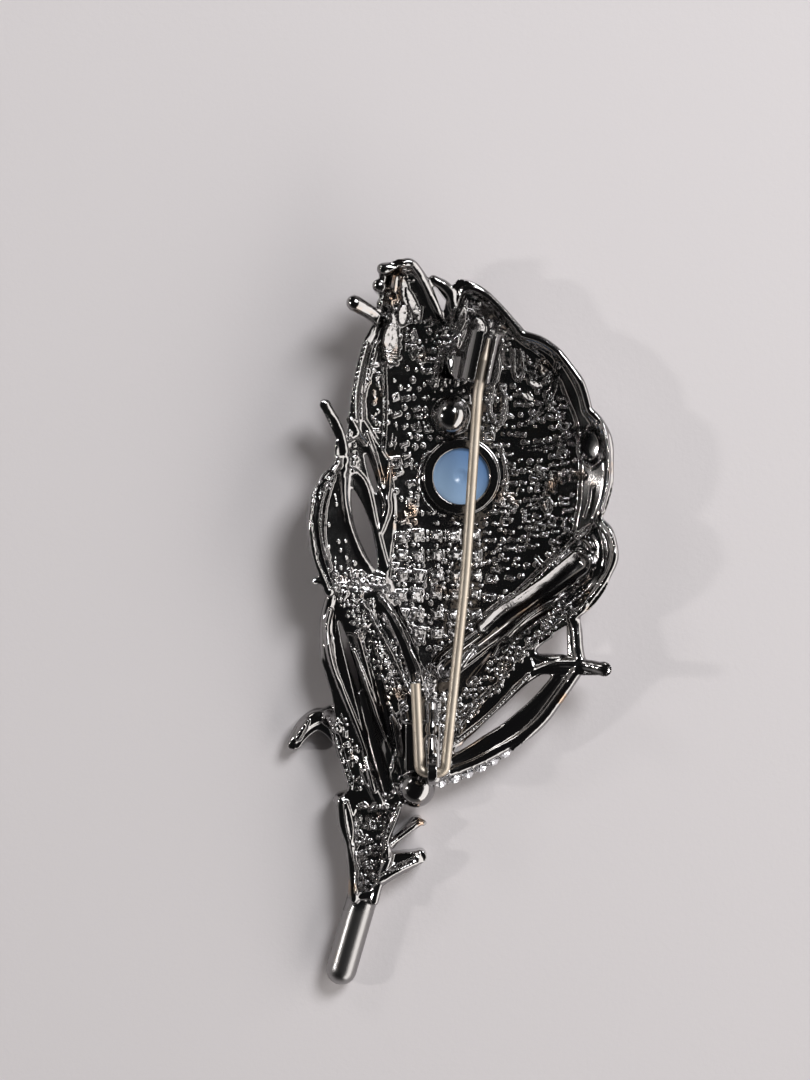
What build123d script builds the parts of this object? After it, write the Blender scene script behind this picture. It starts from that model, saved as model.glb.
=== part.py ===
"""Peacock feather brooch, lying face down, in millimetres.

The feather's front faces down to the table and its hollow back faces up. +Y runs from
the quill to the crest, +X to the right as seen from behind, and Z is zero at the table.
Plan places are squares of the maker's drawing grid, which is GRID_ACROSS squares wide and
GRID_ALONG squares tall over the whole feather, so each table holds shares of its size.
"""
from build123d import *
from functools import lru_cache
from math import asin, atan2, cos, degrees, sin
import os

# Overall size of the cast feather
FEATHER_LENGTH = 72.6
FEATHER_WIDTH = 32.9
GRID_ACROSS = 329
GRID_ALONG = 726

# The hollow of the vane: a dish that is lowest at the eye
DISH_RADIUS_ACROSS = 30.0
DISH_RADIUS_TO_CREST = 44.0
DISH_RADIUS_TO_QUILL = 240.0
DISH_CLEARANCE_AT_EYE = 0.3
DISH_OVERRUN = 4.0
CAST_WALL = 1.2
RIM_WIDTH = 0.8
RIM_HEIGHT = 1.0
GAP_RIM_WIDTH = 0.56
PRONG_HEIGHT = 0.8
LOOP_HEIGHT = 0.6
RIDGE_WIDTH = 0.45
RIDGE_HEIGHT = 0.45
BAND_HEIGHT = 0.9
BAND_WIDTH = 2.9
BAND_GOUGE_RADIUS = 1.1
BAND_GOUGE_LIFT = 0.35
ROOT = 0.2

# Cutting tools reach past what they cut
CUTTER_HEIGHT = 16.0
CUTTER_OVERRUN = 2.0

# The blue stone and its setting
STONE_DIAMETER = 6.0
STONE_HEIGHT = 2.05
STONE_GIRDLE = 0.7
STONE_DROP = 0.1
SEAT_CLEARANCE = 0.05
SEAT_LEDGE = 0.25
BEZEL_WALL = 0.75
BEZEL_LIP = 0.3
EYE_RING_RADIUS = 4.5

# The fronds, quill base and stem
TAIL_TOP_AT_VANE = 4.9
TAIL_TOP_AT_QUILL = 3.5
TAIL_FLOOR_AT_VANE = 2.4
TAIL_FLOOR_REACH = 16.0
TAIL_OVERLAP = 1.0
TAIL_PRONG_HEIGHT = 3.0
HOOK_THICKNESS = 1.9
HOOK_LIFT = 0.25
PIT_FLOOR = 0.9
STEM_DIAMETER = 3.1
STEM_LIFT = 0.15
BALL_DIAMETER = 3.85
BALL_STAND = 0.5
OVAL_PIT_DEPTH = 0.55

# The pin, its hinge lug and its catch
WIRE_DIAMETER = 1.0
PIN_BEND_RADIUS = 0.7
PIN_SHORT_LEG = 8.8
HINGE_HEIGHT = 6.8
HINGE_SPACING = 2.5
HOLE_CLEARANCE = 0.05
LUG_THICKNESS = 0.95
LUG_WALL = 0.75
LUG_LENGTH = 7.0
LUG_ROOT = 0.8
LUG_TOE = 1.6
PLATE_WIDTH = 3.4
PLATE_LENGTH = 4.8
PLATE_SHIFT = 0.95
PLATE_TOP = 5.9
PIN_RISE = 0.6
CATCH_DIAMETER = 3.5
CATCH_WALL = 0.5
CATCH_LENGTH = 5.0
CATCH_PIN_OFFSET = 0.45
CATCH_CLEARANCE = 0.08
CATCH_FOOT_LENGTH = 2.4
CATCH_FOOT_REACH = 1.7
CATCH_FOOT_BOTTOM = 2.6
CATCH_FOOT_SHIFT = 0.25
CATCH_FOOT_INNER = 0.6
PIN_BEND_BEFORE_CATCH = 0.9
PIN_END_INSIDE = 0.5
PIN_TAPER = 2.2
PIN_POINT_SHARE = 0.12
PIN_SPLAY = 0.4
PIN_BOW_RADIUS = 150.0
PIN_ENTRY_RADIUS = 8.0

# Small crystals along the lower loop
CRYSTAL_DIAMETER = 1.3
CRYSTAL_HEIGHT = 0.9
CRYSTAL_CROWN = 0.27
CRYSTAL_GIRDLE = 0.11
CRYSTAL_TABLE_SHARE = 0.58
CRYSTAL_CULET_SHARE = 0.08
CRYSTAL_SIDES = 8
CRYSTAL_GAP = 0.15
CRYSTAL_INSET = 0.45
CRYSTAL_COUNT = 6
CRYSTAL_ROW_END = 0.975

# Centres on the drawing grid, in squares across and along
EYE = (174.5, 512)
PIN_BOW = (178, 413)
CREST_BALL = (164, 573)
QUILL_BALL = (129, 199)
HINGE = (145, 218)
STEM_TIP = (54, 0)
STEM_ROOT = (75, 88)
CATCH_LOW = (187.5, 604)
CATCH_HIGH = (197.7, 653.5)

# Outlines, clockwise. Columns: across, along, bow of the arc to the next point (outward
# is positive), all in grid squares.
VANE = [
    (99, 718, 6), (131, 720, 2), (149, 690, 0), (156, 673, 0), (161, 696, 0), (171, 707, 1),
    (193, 700, 2), (237, 654, 15), (303, 579, 16.5), (314, 469, 23), (286, 368, 0),
    (253, 346, -3), (243, 333, 0), (248, 318, 2), (193, 266, 0), (168, 238, 0), (140, 236, 0),
    (137, 288, 0), (123, 335, 0), (105, 379, 3), (93, 394, 0), (38, 396, 0), (31, 416, 5),
    (25, 492, 3), (47, 523, 0), (49, 548, 0), (60, 549, 0), (64, 586, 2), (77, 646, 0),
    (87, 664, 0),
]
VANE_FLOOR = [
    (99, 718, 6), (131, 720, 2), (149, 690, 0), (156, 673, 0), (171, 704, 0),
    (193, 700, 2), (237, 654, 15), (303, 579, 16.5), (314, 469, 23), (286, 368, 0),
    (243, 333, 0), (193, 266, 0), (168, 238, 0), (142, 238, 0), (123, 335, 0), (105, 379, 0),
    (93, 394, 0), (38, 396, 0), (31, 416, 5), (25, 492, 3), (47, 523, 0), (49, 548, 0),
    (64, 556, 0), (64, 586, 2), (77, 646, 0), (87, 664, 0),
]
TAIL = [
    (38, 400, 3), (34, 328, 1), (47, 282, 0), (48, 240, 0), (61, 198, 0), (48, 183, 1),
    (58, 148, 1), (61, 88, 0), (89, 88, 0), (98, 108, 0), (100, 138, 0), (113, 176, 6),
    (150, 203, 0), (170, 232, 0), (153, 252, 0), (140, 290, 0), (126, 335, 0), (106, 379, 3),
    (93, 396, 0),
]
HOOK = [
    (0, 243, 8), (48, 283, 0), (64, 262, 0), (56, 230, 0), (50, 229, -4), (31, 257, -2),
    (12, 239, 1), (4, 237, 1.5),
]
LOOP = [(289, 318, 22), (150, 201, 0), (160, 226, -9), (270, 318, 0)]
LENS_GAP = [(64, 503, 7), (91, 414, 8)]
SLIVER_GAP = [(77, 538, 4), (90, 492, 2)]
FROND_GAP = [(50, 374, 4), (74, 288, 3)]
QUILL_PIT = [(67, 179, 0), (108, 176, 0), (95, 143, 0), (91, 108, 5), (72, 96, 3), (69, 138, 0)]
OUTLINE_GAPS = {"vane": [LENS_GAP, SLIVER_GAP], "tail": [FROND_GAP]}

# Prongs standing out of the outline. Columns: from across, from along, to across,
# to along, width, tip radius.
VANE_PRONGS = [
    (96, 705, 96, 715, 7, 5.5), (103, 676, 92, 699, 7, 6), (92, 668, 69, 682, 12, 7.5),
    (168, 680, 150, 704, 7, 4.5), (54, 551, 39, 582, 10, 5.5), (286, 372, 287, 330, 13, 6.5),
    (255, 320, 315, 320, 13, 7.5), (246, 328, 275, 328, 12, 6), (36, 408, 29, 407, 6, 3.5),
]
TAIL_PRONGS = [(102, 142, 130, 165, 8, 5), (98, 126, 133, 130, 13, 7), (56, 189, 53, 187, 12, 7)]

# Ridges cast on the floor of the vane. Columns: start, middle and end of an arc.
RIDGES = [
    ((212, 620), (203, 592), (205, 578)), ((205, 578), (212, 567), (219, 580)),
    ((219, 580), (216, 600), (217, 620)), ((214, 495), (234, 480), (258, 489)),
    ((218, 482), (238, 462), (262, 470)), ((230, 560), (260, 586), (269, 616)),
    ((238, 540), (268, 546), (290, 560)), ((240, 520), (268, 510), (296, 512)),
    ((150, 640), (148, 610), (146, 590)), ((118, 640), (128, 600), (124, 560)),
    ((95, 640), (98, 590), (96, 540)), ((108, 560), (103, 520), (100, 480)),
    ((110, 470), (120, 440), (128, 400)), ((190, 450), (196, 420), (208, 400)),
    ((176, 445), (176, 415), (182, 385)), ((46, 512), (36, 470), (42, 420)),
    ((250, 610), (262, 640), (246, 640)), ((180, 640), (196, 668), (214, 660)),
    ((268, 440), (292, 452), (304, 440)), ((250, 430), (270, 412), (290, 408)),
]
BAND_LINE = ((290, 424), (228, 377), (158, 322))
LOWER_RIDGE = ((288, 322), (234, 312), (172, 246))
CELL_COLUMNS = [131, 150, 169]
CELL_ROWS = [448, 428, 408, 385, 364, 343]
CELL_SIZE = 1.15
CELL_HEIGHT = 0.35
OVAL_PIT = (303, 542, 11, 19)

# Troughs gouged into the fronds. Columns: start, middle, end, gouge radius in millimetres.
TROUGHS = [
    ((43, 380), (48, 310), (78, 226), 0.55), ((62, 348), (81, 270), (100, 196), 0.9),
    ((82, 386), (112, 320), (124, 232), 0.95), ((78, 352), (94, 292), (110, 206), 0.5),
    ((44, 268), (52, 236), (62, 206), 0.45),
]
TROUGH_DEPTH = 0.55


STANDING = (Align.CENTER, Align.CENTER, Align.MIN)


def across(squares):
    """Turn grid squares across the feather into millimetres."""
    return squares / GRID_ACROSS * FEATHER_WIDTH


def along(squares):
    """Turn grid squares along the feather into millimetres."""
    return squares / GRID_ALONG * FEATHER_LENGTH


def spot(place):
    """A place of the drawing grid in millimetres."""
    return (across(place[0]), along(place[1]))


def arc_face(rows):
    """A closed face from points joined by lines and bowed arcs."""
    edges = []
    for row, following in zip(rows, rows[1:] + rows[:1]):
        start, end = Vector(*spot(row)), Vector(*spot(following))
        if row[2] == 0:
            edges.append(Line(start, end))
            continue
        chord = end - start
        outward = Vector(-chord.Y, chord.X).normalized()
        edges.append(ThreePointArc(start, (start + end) / 2 + outward * across(row[2]), end))
    return make_face(Wire(edges))


def inset(rows, width):
    """The same outline moved inwards by an even width in millimetres."""
    moved = []
    for before, row, after in zip(rows[-1:] + rows[:-1], rows, rows[1:] + rows[:1]):
        points = [Vector(*spot(place)) for place in (before, row, after)]
        sides = [points[1] - points[0], points[2] - points[1]]
        left, right = [Vector(-side.Y, side.X).normalized() for side in sides]
        corner = points[1] - (left + right) * (width / max(1 + left.dot(right), 0.5))
        moved.append((corner.X / across(1), corner.Y / along(1), row[2]))
    return moved


def prong_face(row):
    """A prong with a rounded tip, flat in plan."""
    root, tip = Vector(*spot(row[:2])), Vector(*spot(row[2:4]))
    run = tip - root
    turn = degrees(atan2(run.Y, run.X))
    bar = Pos((root + tip) / 2) * Rot(0, 0, turn) * Rectangle(run.length, across(row[4]))
    return bar + Pos(tip) * Circle(across(row[5])) + Pos(root) * Circle(across(row[4] / 2))


def arc_strip(start, middle, end, width):
    """A strip of even width along an arc, with round ends."""
    return SlotArc(ThreePointArc(spot(start), spot(middle), spot(end)), width)


def tall(face):
    """A prism through the whole height of the brooch."""
    return extrude(face, CUTTER_HEIGHT)


@lru_cache
def dish(level):
    """The space above the dished front surface, raised by level."""
    eye_x, eye_y = spot(EYE)
    centre = DISH_CLEARANCE_AT_EYE + DISH_RADIUS_ACROSS
    top = centre + DISH_RADIUS_ACROSS - level

    def rise(reach, radius):
        """A point of the profile, drawn on the far side of the axis."""
        drop = radius - (radius**2 - reach**2) ** 0.5
        return Vector(eye_x, eye_y + reach, top - drop)

    crest = FEATHER_LENGTH - eye_y + DISH_OVERRUN
    quill = -eye_y
    crest_end = rise(crest, DISH_RADIUS_TO_CREST)
    quill_end = rise(quill, DISH_RADIUS_TO_QUILL)
    profile = make_face(Wire([
        ThreePointArc(quill_end, rise(quill / 2, DISH_RADIUS_TO_QUILL), (eye_x, eye_y, top)),
        ThreePointArc((eye_x, eye_y, top), rise(crest / 2, DISH_RADIUS_TO_CREST), crest_end),
        Line(crest_end, (eye_x, crest_end.Y, centre)),
        Line((eye_x, crest_end.Y, centre), (eye_x, quill_end.Y, centre)),
        Line((eye_x, quill_end.Y, centre), quill_end),
    ]))
    return revolve(profile, Axis((eye_x, 0, centre), (0, 1, 0)), 360)


def floor_height(x, y, level=CAST_WALL):
    """Height of the dish at a point, measured on the vane's floor."""
    eye_x, eye_y = spot(EYE)
    radius = DISH_RADIUS_TO_CREST if y > eye_y else DISH_RADIUS_TO_QUILL
    lift = radius - (radius**2 - (y - eye_y) ** 2) ** 0.5
    ring = DISH_RADIUS_ACROSS - lift - level
    return DISH_CLEARANCE_AT_EYE + DISH_RADIUS_ACROSS - (ring**2 - (x - eye_x) ** 2) ** 0.5


def tail_top(y):
    """Height of the fronds' upper side, which slopes down to the quill."""
    high, low = along(TAIL[0][1]), along(QUILL_BALL[1])
    share = min(max((y - low) / (high - low), 0), 1)
    return TAIL_TOP_AT_QUILL + share * (TAIL_TOP_AT_VANE - TAIL_TOP_AT_QUILL)


def vane():
    """The dished vane with its rim, ridges, cells, band and open gaps."""
    front = dish(0)
    outline = arc_face(VANE)
    for gap in OUTLINE_GAPS["vane"]:
        outline -= arc_face(gap)
    inside = arc_face(inset(VANE_FLOOR, RIM_WIDTH))
    for gap in OUTLINE_GAPS["vane"]:
        inside -= arc_face(inset(gap, -GAP_RIM_WIDTH))
    body = (tall(outline) & front) - dish(CAST_WALL + RIM_HEIGHT)
    body -= tall(inside) & dish(CAST_WALL)
    for row in VANE_PRONGS:
        body += tall(prong_face(row)) & (front - dish(CAST_WALL + PRONG_HEIGHT))
    body += tall(arc_face(LOOP)) & (front - dish(CAST_WALL + LOOP_HEIGHT))
    return body


def raised(faces, height):
    """Flat outlines raised above the vane's floor by an even height."""
    return (tall(Sketch() + faces) & dish(CAST_WALL - ROOT)) - dish(CAST_WALL + height)


def vane_relief():
    """Cast relief on the vane's floor: ridges, cells and the bright band."""
    ring = Circle(EYE_RING_RADIUS + RIDGE_WIDTH) - Circle(EYE_RING_RADIUS)
    ridges = [arc_strip(*row, RIDGE_WIDTH) for row in RIDGES] + [Pos(*spot(EYE)) * ring]
    frame = Rectangle(CELL_SIZE, CELL_SIZE) - Rectangle(CELL_SIZE / 2, CELL_SIZE / 2)
    cells = [Pos(*spot((column, row))) * frame for column in CELL_COLUMNS for row in CELL_ROWS]
    band = [arc_strip(*BAND_LINE, BAND_WIDTH), arc_strip(*LOWER_RIDGE, RIDGE_WIDTH * 2)]
    return [raised(ridges, RIDGE_HEIGHT), raised(cells, CELL_HEIGHT), raised(band, BAND_HEIGHT)]


def band_gouge():
    """The round gouge that hollows the bright band."""
    points = [Vector(*spot(place)) for place in BAND_LINE]
    heights = [floor_height(p.X, p.Y, CAST_WALL + BAND_HEIGHT) + BAND_GOUGE_LIFT for p in points]
    line = ThreePointArc(*[Vector(p.X, p.Y, z) for p, z in zip(points, heights)])
    ends = [Pos(line @ share) * Sphere(BAND_GOUGE_RADIUS) for share in (0, 1)]
    section = Plane(line @ 0, z_dir=line % 0) * Circle(BAND_GOUGE_RADIUS)
    return [sweep(section, line)] + ends


def tail():
    """The fronds below the vane, the hook and the quill base."""
    high = along(TAIL[0][1]) + TAIL_OVERLAP
    low = along(QUILL_BALL[1])
    side = make_face(Polyline(
        (0, high, TAIL_FLOOR_AT_VANE), (0, high, tail_top(high)), (0, low, TAIL_TOP_AT_QUILL),
        (0, 0, TAIL_TOP_AT_QUILL), (0, 0, 0), (0, high - TAIL_FLOOR_REACH, 0), close=True,
    ))
    slab = extrude(side, FEATHER_WIDTH, dir=(1, 0, 0))
    outline = arc_face(TAIL)
    for gap in OUTLINE_GAPS["tail"]:
        outline -= arc_face(gap)
    body = tall(outline) & slab
    for row in TAIL_PRONGS:
        body += extrude(prong_face(row), TAIL_PRONG_HEIGHT)
    body += Pos(0, 0, HOOK_LIFT) * extrude(arc_face(HOOK), HOOK_THICKNESS)
    pit = Pos(0, 0, PIT_FLOOR) * tall(arc_face(QUILL_PIT))
    return body - pit


def troughs():
    """Round gouges along the fronds."""
    cuts = []
    for start, middle, end, radius in TROUGHS:
        points = [Vector(*spot(place)) for place in (start, middle, end)]
        lift = radius - TROUGH_DEPTH
        line = ThreePointArc(*[Vector(p.X, p.Y, tail_top(p.Y) + lift) for p in points])
        section = Plane(line @ 0, z_dir=line % 0) * Circle(radius)
        cuts.append(sweep(section, line))
        cuts += [Pos(line @ share) * Sphere(radius) for share in (0, 1)]
    return cuts


def stem():
    """The plain round end of the quill."""
    radius = STEM_DIAMETER / 2
    tip = Vector(across(STEM_TIP[0]), radius, radius + STEM_LIFT)
    root = Vector(*spot(STEM_ROOT), radius + STEM_LIFT)
    run = root - tip
    rod = Plane(tip, z_dir=run) * Cylinder(radius, run.length, align=STANDING)
    return rod + Pos(tip) * Sphere(radius) + Pos(root) * Sphere(radius)


def bezel():
    """The setting's solid boss at the eye, before its seat is cut."""
    outer = STONE_DIAMETER / 2 + SEAT_CLEARANCE + BEZEL_WALL
    height = STONE_HEIGHT + STONE_DROP + SEAT_CLEARANCE + BEZEL_LIP
    return Pos(*spot(EYE)) * Cylinder(outer, height, align=STANDING)


def bezel_seat():
    """The seat for the stone and the round hole that shows its back."""
    seat_radius = STONE_DIAMETER / 2 + SEAT_CLEARANCE
    depth = STONE_HEIGHT + STONE_DROP + SEAT_CLEARANCE
    seat = Cylinder(seat_radius, depth, align=STANDING)
    hole = Cylinder(seat_radius - SEAT_LEDGE, depth + CUTTER_OVERRUN, align=STANDING)
    return Pos(*spot(EYE)) * (seat + hole)


def eye_stone():
    """A round cabochon, its dome to the front, its flat back to the hole."""
    radius = STONE_DIAMETER / 2
    dome = STONE_HEIGHT - STONE_GIRDLE
    curve = (radius**2 + dome**2) / (2 * dome)
    turn = asin(radius / curve) / 2
    low = STONE_DROP
    top = low + STONE_HEIGHT
    halfway = (curve * sin(turn), 0, low + curve * (1 - cos(turn)))
    profile = make_face(Wire([
        ThreePointArc((0, 0, low), halfway, (radius, 0, low + dome)),
        Line((radius, 0, low + dome), (radius, 0, top)),
        Line((radius, 0, top), (0, 0, top)),
        Line((0, 0, top), (0, 0, low)),
    ]))
    return Pos(*spot(EYE)) * revolve(profile, Axis.Z, 360)


def catch_frame():
    """The catch's own frame: its axis along the roll, its origin at the middle."""
    low = Vector(*spot(CATCH_LOW))
    high = Vector(*spot(CATCH_HIGH))
    run = high - low
    middle = (low + high) / 2
    turn = degrees(atan2(run.Y, run.X)) - 90
    return Pos(middle.X, middle.Y, HINGE_HEIGHT + PIN_RISE) * Rot(0, 0, turn)


def catch():
    """The rolled catch, open upwards beside its lip, on a sloping foot at its left."""
    radius = CATCH_DIAMETER / 2
    roll = Rot(90, 0, 0) * Cylinder(radius, CATCH_LENGTH)
    bore = Rot(90, 0, 0) * Cylinder(radius - CATCH_WALL, CATCH_LENGTH + CUTTER_OVERRUN)
    drop = HINGE_HEIGHT + PIN_RISE - CATCH_FOOT_BOTTOM
    left = -radius - CATCH_FOOT_REACH
    right = -radius * CATCH_FOOT_INNER
    side = make_face(Polyline(
        (left, 0, -drop), (left, 0, -radius), (-radius, 0, 0), (right, 0, right),
        (right, 0, -drop), close=True,
    ))
    foot = extrude(Pos(0, -CATCH_FOOT_SHIFT, 0) * side, CATCH_FOOT_LENGTH, dir=(0, -1, 0))
    return catch_frame() * (roll + foot - bore)


def catch_mouth():
    """The slot that lets the pin swing straight up out of the catch."""
    half = WIRE_DIAMETER / 2 + CATCH_CLEARANCE
    long = CATCH_LENGTH + CUTTER_OVERRUN
    groove = Pos(CATCH_PIN_OFFSET, 0, 0) * Rot(90, 0, 0) * Cylinder(half, long)
    slot = Pos(CATCH_PIN_OFFSET, 0, CATCH_DIAMETER / 2) * Box(half * 2, long, CATCH_DIAMETER)
    return catch_frame() * (groove + slot)


def lug():
    """The hinge lug: a fin with a rounded end round the hinge hole."""
    x, y = spot(HINGE)
    outer = WIRE_DIAMETER / 2 + HOLE_CLEARANCE + LUG_WALL
    root = tail_top(y) - LUG_ROOT
    profile = make_face(Wire([
        Line((0, y - outer, root), (0, y - outer, HINGE_HEIGHT)),
        ThreePointArc((0, y - outer, HINGE_HEIGHT), (0, y, HINGE_HEIGHT + outer),
                      (0, y + outer, HINGE_HEIGHT)),
        Line((0, y + outer, HINGE_HEIGHT), (0, y + LUG_LENGTH, root + LUG_TOE)),
        Line((0, y + LUG_LENGTH, root + LUG_TOE), (0, y + LUG_LENGTH, root)),
        Line((0, y + LUG_LENGTH, root), (0, y - outer, root)),
    ]))
    return Pos(x - LUG_THICKNESS / 2, 0, 0) * extrude(profile, LUG_THICKNESS, dir=(1, 0, 0))


def hinge_plate():
    """The block under the lug and both legs of the pin."""
    x, y = spot(HINGE)
    root = tail_top(y) - LUG_ROOT
    low = Vector(x - PLATE_SHIFT - PLATE_WIDTH / 2, y, root)
    block = Box(PLATE_WIDTH, PLATE_LENGTH, PLATE_TOP - root, align=Align.MIN)
    return Pos(low) * block


def hinge_hole():
    """The hole through the lug."""
    x, y = spot(HINGE)
    bore = Cylinder(WIRE_DIAMETER / 2 + HOLE_CLEARANCE, LUG_THICKNESS + CUTTER_OVERRUN)
    return Pos(x, y, HINGE_HEIGHT) * Rot(0, 90, 0) * bore


def balls():
    """The two round bosses on the back."""
    radius = BALL_DIAMETER / 2
    crest_x, crest_y = spot(CREST_BALL)
    quill_x, quill_y = spot(QUILL_BALL)
    crest = Pos(crest_x, crest_y, floor_height(crest_x, crest_y) + BALL_STAND) * Sphere(radius)
    quill = Pos(quill_x, quill_y, TAIL_TOP_AT_QUILL - BALL_STAND) * Sphere(radius)
    return [crest & dish(CAST_WALL / 2), quill]


def oval_pit():
    """The oval pit inside the right lobe."""
    middle = Pos(*spot(OVAL_PIT[:2]))
    oval = middle * Ellipse(across(OVAL_PIT[2]), along(OVAL_PIT[3]))
    return tall(oval) & dish(CAST_WALL - OVAL_PIT_DEPTH)


def crystal_places():
    """Centres of the crystals along the outer edge of the lower loop."""
    start = Vector(*spot(LOOP[0]))
    end = Vector(*spot(LOOP[1]))
    chord = end - start
    outward = Vector(-chord.Y, chord.X).normalized()
    edge = ThreePointArc(start, (start + end) / 2 + outward * across(LOOP[0][2]), end)
    pitch = (CRYSTAL_DIAMETER + CRYSTAL_GAP) / edge.length
    places = []
    for number in range(CRYSTAL_COUNT):
        share = CRYSTAL_ROW_END - pitch * number
        forward = edge % share
        point = edge @ share - Vector(-forward.Y, forward.X) * CRYSTAL_INSET
        level = floor_height(point.X, point.Y, RIM_HEIGHT)
        places.append(Pos(point.X, point.Y, level))
    return places


def crystal():
    """A round cut crystal, its table to the front and its point to the back."""
    radius = CRYSTAL_DIAMETER / 2
    outline = RegularPolygon(radius, CRYSTAL_SIDES)
    table = RegularPolygon(radius * CRYSTAL_TABLE_SHARE, CRYSTAL_SIDES)
    culet = RegularPolygon(radius * CRYSTAL_CULET_SHARE, CRYSTAL_SIDES)
    crown = loft([Pos(0, 0, -CRYSTAL_CROWN) * table, outline])
    girdle = extrude(outline, CRYSTAL_GIRDLE)
    point = Pos(0, 0, CRYSTAL_HEIGHT - CRYSTAL_CROWN) * culet
    return crown + girdle + loft([Pos(0, 0, CRYSTAL_GIRDLE) * outline, point])


def crystal_seat():
    """The round seat cut in the loop's edge for one crystal."""
    radius = CRYSTAL_DIAMETER / 2 + SEAT_CLEARANCE
    return Cylinder(radius, CUTTER_HEIGHT)


def pin_wire():
    """One bent wire: short leg, crosspiece through the lug, and the long pin."""
    x, y = spot(HINGE)
    half = HINGE_SPACING / 2
    level = HINGE_HEIGHT
    seat = catch_frame() * Pos(CATCH_PIN_OFFSET, 0, 0)
    entry = (seat * Pos(0, -CATCH_LENGTH / 2 - PIN_BEND_BEFORE_CATCH, 0)).position
    point = (seat * Pos(0, CATCH_LENGTH / 2 - PIN_END_INSIDE, 0)).position
    taper_start = point - (point - entry).normalized() * PIN_TAPER
    bow_x, bow_y = spot(PIN_BOW)
    bow = Vector(bow_x, bow_y, level + PIN_RISE * (bow_y - y) / (entry.Y - y))
    line = FilletPolyline(
        (x - half - PIN_SPLAY, y + PIN_SHORT_LEG, level), (x - half, y, level),
        (x + half, y, level), bow, entry, taper_start,
        radius=[PIN_BEND_RADIUS, PIN_BEND_RADIUS, PIN_BOW_RADIUS, PIN_ENTRY_RADIUS],
    )
    section = Plane(line @ 0, z_dir=line % 0) * Circle(WIRE_DIAMETER / 2)
    shaft = sweep(section, line)
    cone = Cone(WIRE_DIAMETER / 2, WIRE_DIAMETER * PIN_POINT_SHARE, PIN_TAPER, align=STANDING)
    return shaft + Plane(taper_start, z_dir=point - taper_start) * cone


def feather_casting():
    """The whole cast and soldered body of the brooch."""
    upper = vane() + vane_relief()
    upper = upper - [*band_gouge(), oval_pit()]
    lower = tail() - troughs()
    body = upper + [lower, stem(), bezel(), lug(), hinge_plate(), *balls()]
    seats = [place * crystal_seat() for place in crystal_places()]
    body = body - [bezel_seat(), hinge_hole(), *seats]
    return body + catch() - catch_mouth()


def pieces():
    """Every piece of the brooch by node name."""
    made = {
        "feather_casting": feather_casting(),
        "pin_wire": pin_wire(),
        "eye_stone": eye_stone(),
    }
    for number, place in enumerate(crystal_places(), start=1):
        made[f"edge_crystal_{number}"] = place * crystal()
    return made


made = pieces()
boxes = [piece.bounding_box() for piece in made.values()]
left = min(box.min.X for box in boxes)
right = max(box.max.X for box in boxes)
bottom = min(box.min.Y for box in boxes)
top = max(box.max.Y for box in boxes)
lowest = min(box.min.Z for box in boxes)
to_origin = Pos(-(left + right) / 2, -(bottom + top) / 2, -lowest)
os.makedirs("parts", exist_ok=True)
for name, piece in made.items():
    print(name, round(piece.volume, 2), "mm3, valid", piece.is_valid, "solids", len(piece.solids()))
    export_step(to_origin * piece, f"parts/{name}.step")
hinge = to_origin * Pos(*spot(HINGE), HINGE_HEIGHT)
pin_seat = to_origin * catch_frame() * Pos(CATCH_PIN_OFFSET, 0, 0)
print("hinge at", hinge.position)
print("pin seat in the catch at", pin_seat.position)
print("size", right - left, top - bottom, max(box.max.Z for box in boxes) - lowest)
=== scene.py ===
# %% [markdown]
# # A peacock feather brooch, seen from behind
# A cast brooch in dark, glossy gunmetal lies face down on pale paper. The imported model
# gives the frame, in metres: +Y runs from the quill to the crest and +Z up from the paper.
# This file gives that frame its finish, its fine cast relief and its stones.

# %% Load the frame
from math import cos, pi, radians, sin

import bmesh
import bpy
import numpy as np
from mathutils import Matrix, Vector, noise
from mathutils.bvhtree import BVHTree


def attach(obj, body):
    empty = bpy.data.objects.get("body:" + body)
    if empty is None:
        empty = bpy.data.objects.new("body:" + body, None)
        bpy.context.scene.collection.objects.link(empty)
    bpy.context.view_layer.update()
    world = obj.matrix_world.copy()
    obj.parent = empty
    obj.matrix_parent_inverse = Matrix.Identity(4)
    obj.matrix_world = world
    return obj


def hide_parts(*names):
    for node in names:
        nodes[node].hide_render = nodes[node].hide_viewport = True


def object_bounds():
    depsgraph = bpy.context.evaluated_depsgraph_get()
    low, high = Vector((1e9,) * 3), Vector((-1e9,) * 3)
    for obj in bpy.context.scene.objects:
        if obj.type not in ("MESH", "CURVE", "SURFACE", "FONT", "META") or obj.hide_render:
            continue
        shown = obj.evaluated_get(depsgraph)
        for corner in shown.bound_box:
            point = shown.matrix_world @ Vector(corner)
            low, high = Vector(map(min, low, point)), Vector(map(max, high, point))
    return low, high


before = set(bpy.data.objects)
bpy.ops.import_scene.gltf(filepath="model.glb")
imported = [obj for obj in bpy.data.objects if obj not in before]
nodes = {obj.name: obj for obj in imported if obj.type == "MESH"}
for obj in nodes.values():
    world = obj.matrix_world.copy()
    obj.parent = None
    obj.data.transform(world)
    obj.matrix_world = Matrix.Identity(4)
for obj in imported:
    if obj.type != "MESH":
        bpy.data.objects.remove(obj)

cad_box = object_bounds()
MM = 0.001
print("the CAD model is", [round((b - a) / MM, 1) for a, b in zip(*cad_box)], "mm")

# %% [markdown]
# ## The drawing grid
# The photograph is taken as 810 by 1080 pixels, and one pixel is a tenth of a millimetre
# at the height of the rim. Plan places are written as pixels of that frame, so one
# function turns them into metres.

# %% Places in the photograph
PIXEL = 0.1 * MM
PHOTO_WIDE, PHOTO_TALL = 810, 1080
LEFT_PIXEL, LOW_PIXEL = 286.9, 988.0


def place(px, py):
    """Metres in plan for a pixel of the photograph."""
    return (cad_box[0].x + (px - LEFT_PIXEL) * PIXEL, cad_box[0].y + (LOW_PIXEL - py) * PIXEL)


def new_object(name, data):
    """An object for a mesh, a curve, a light or a camera, put in the scene."""
    item = bpy.data.objects.new(name, data)
    bpy.context.scene.collection.objects.link(item)
    return item


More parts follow.
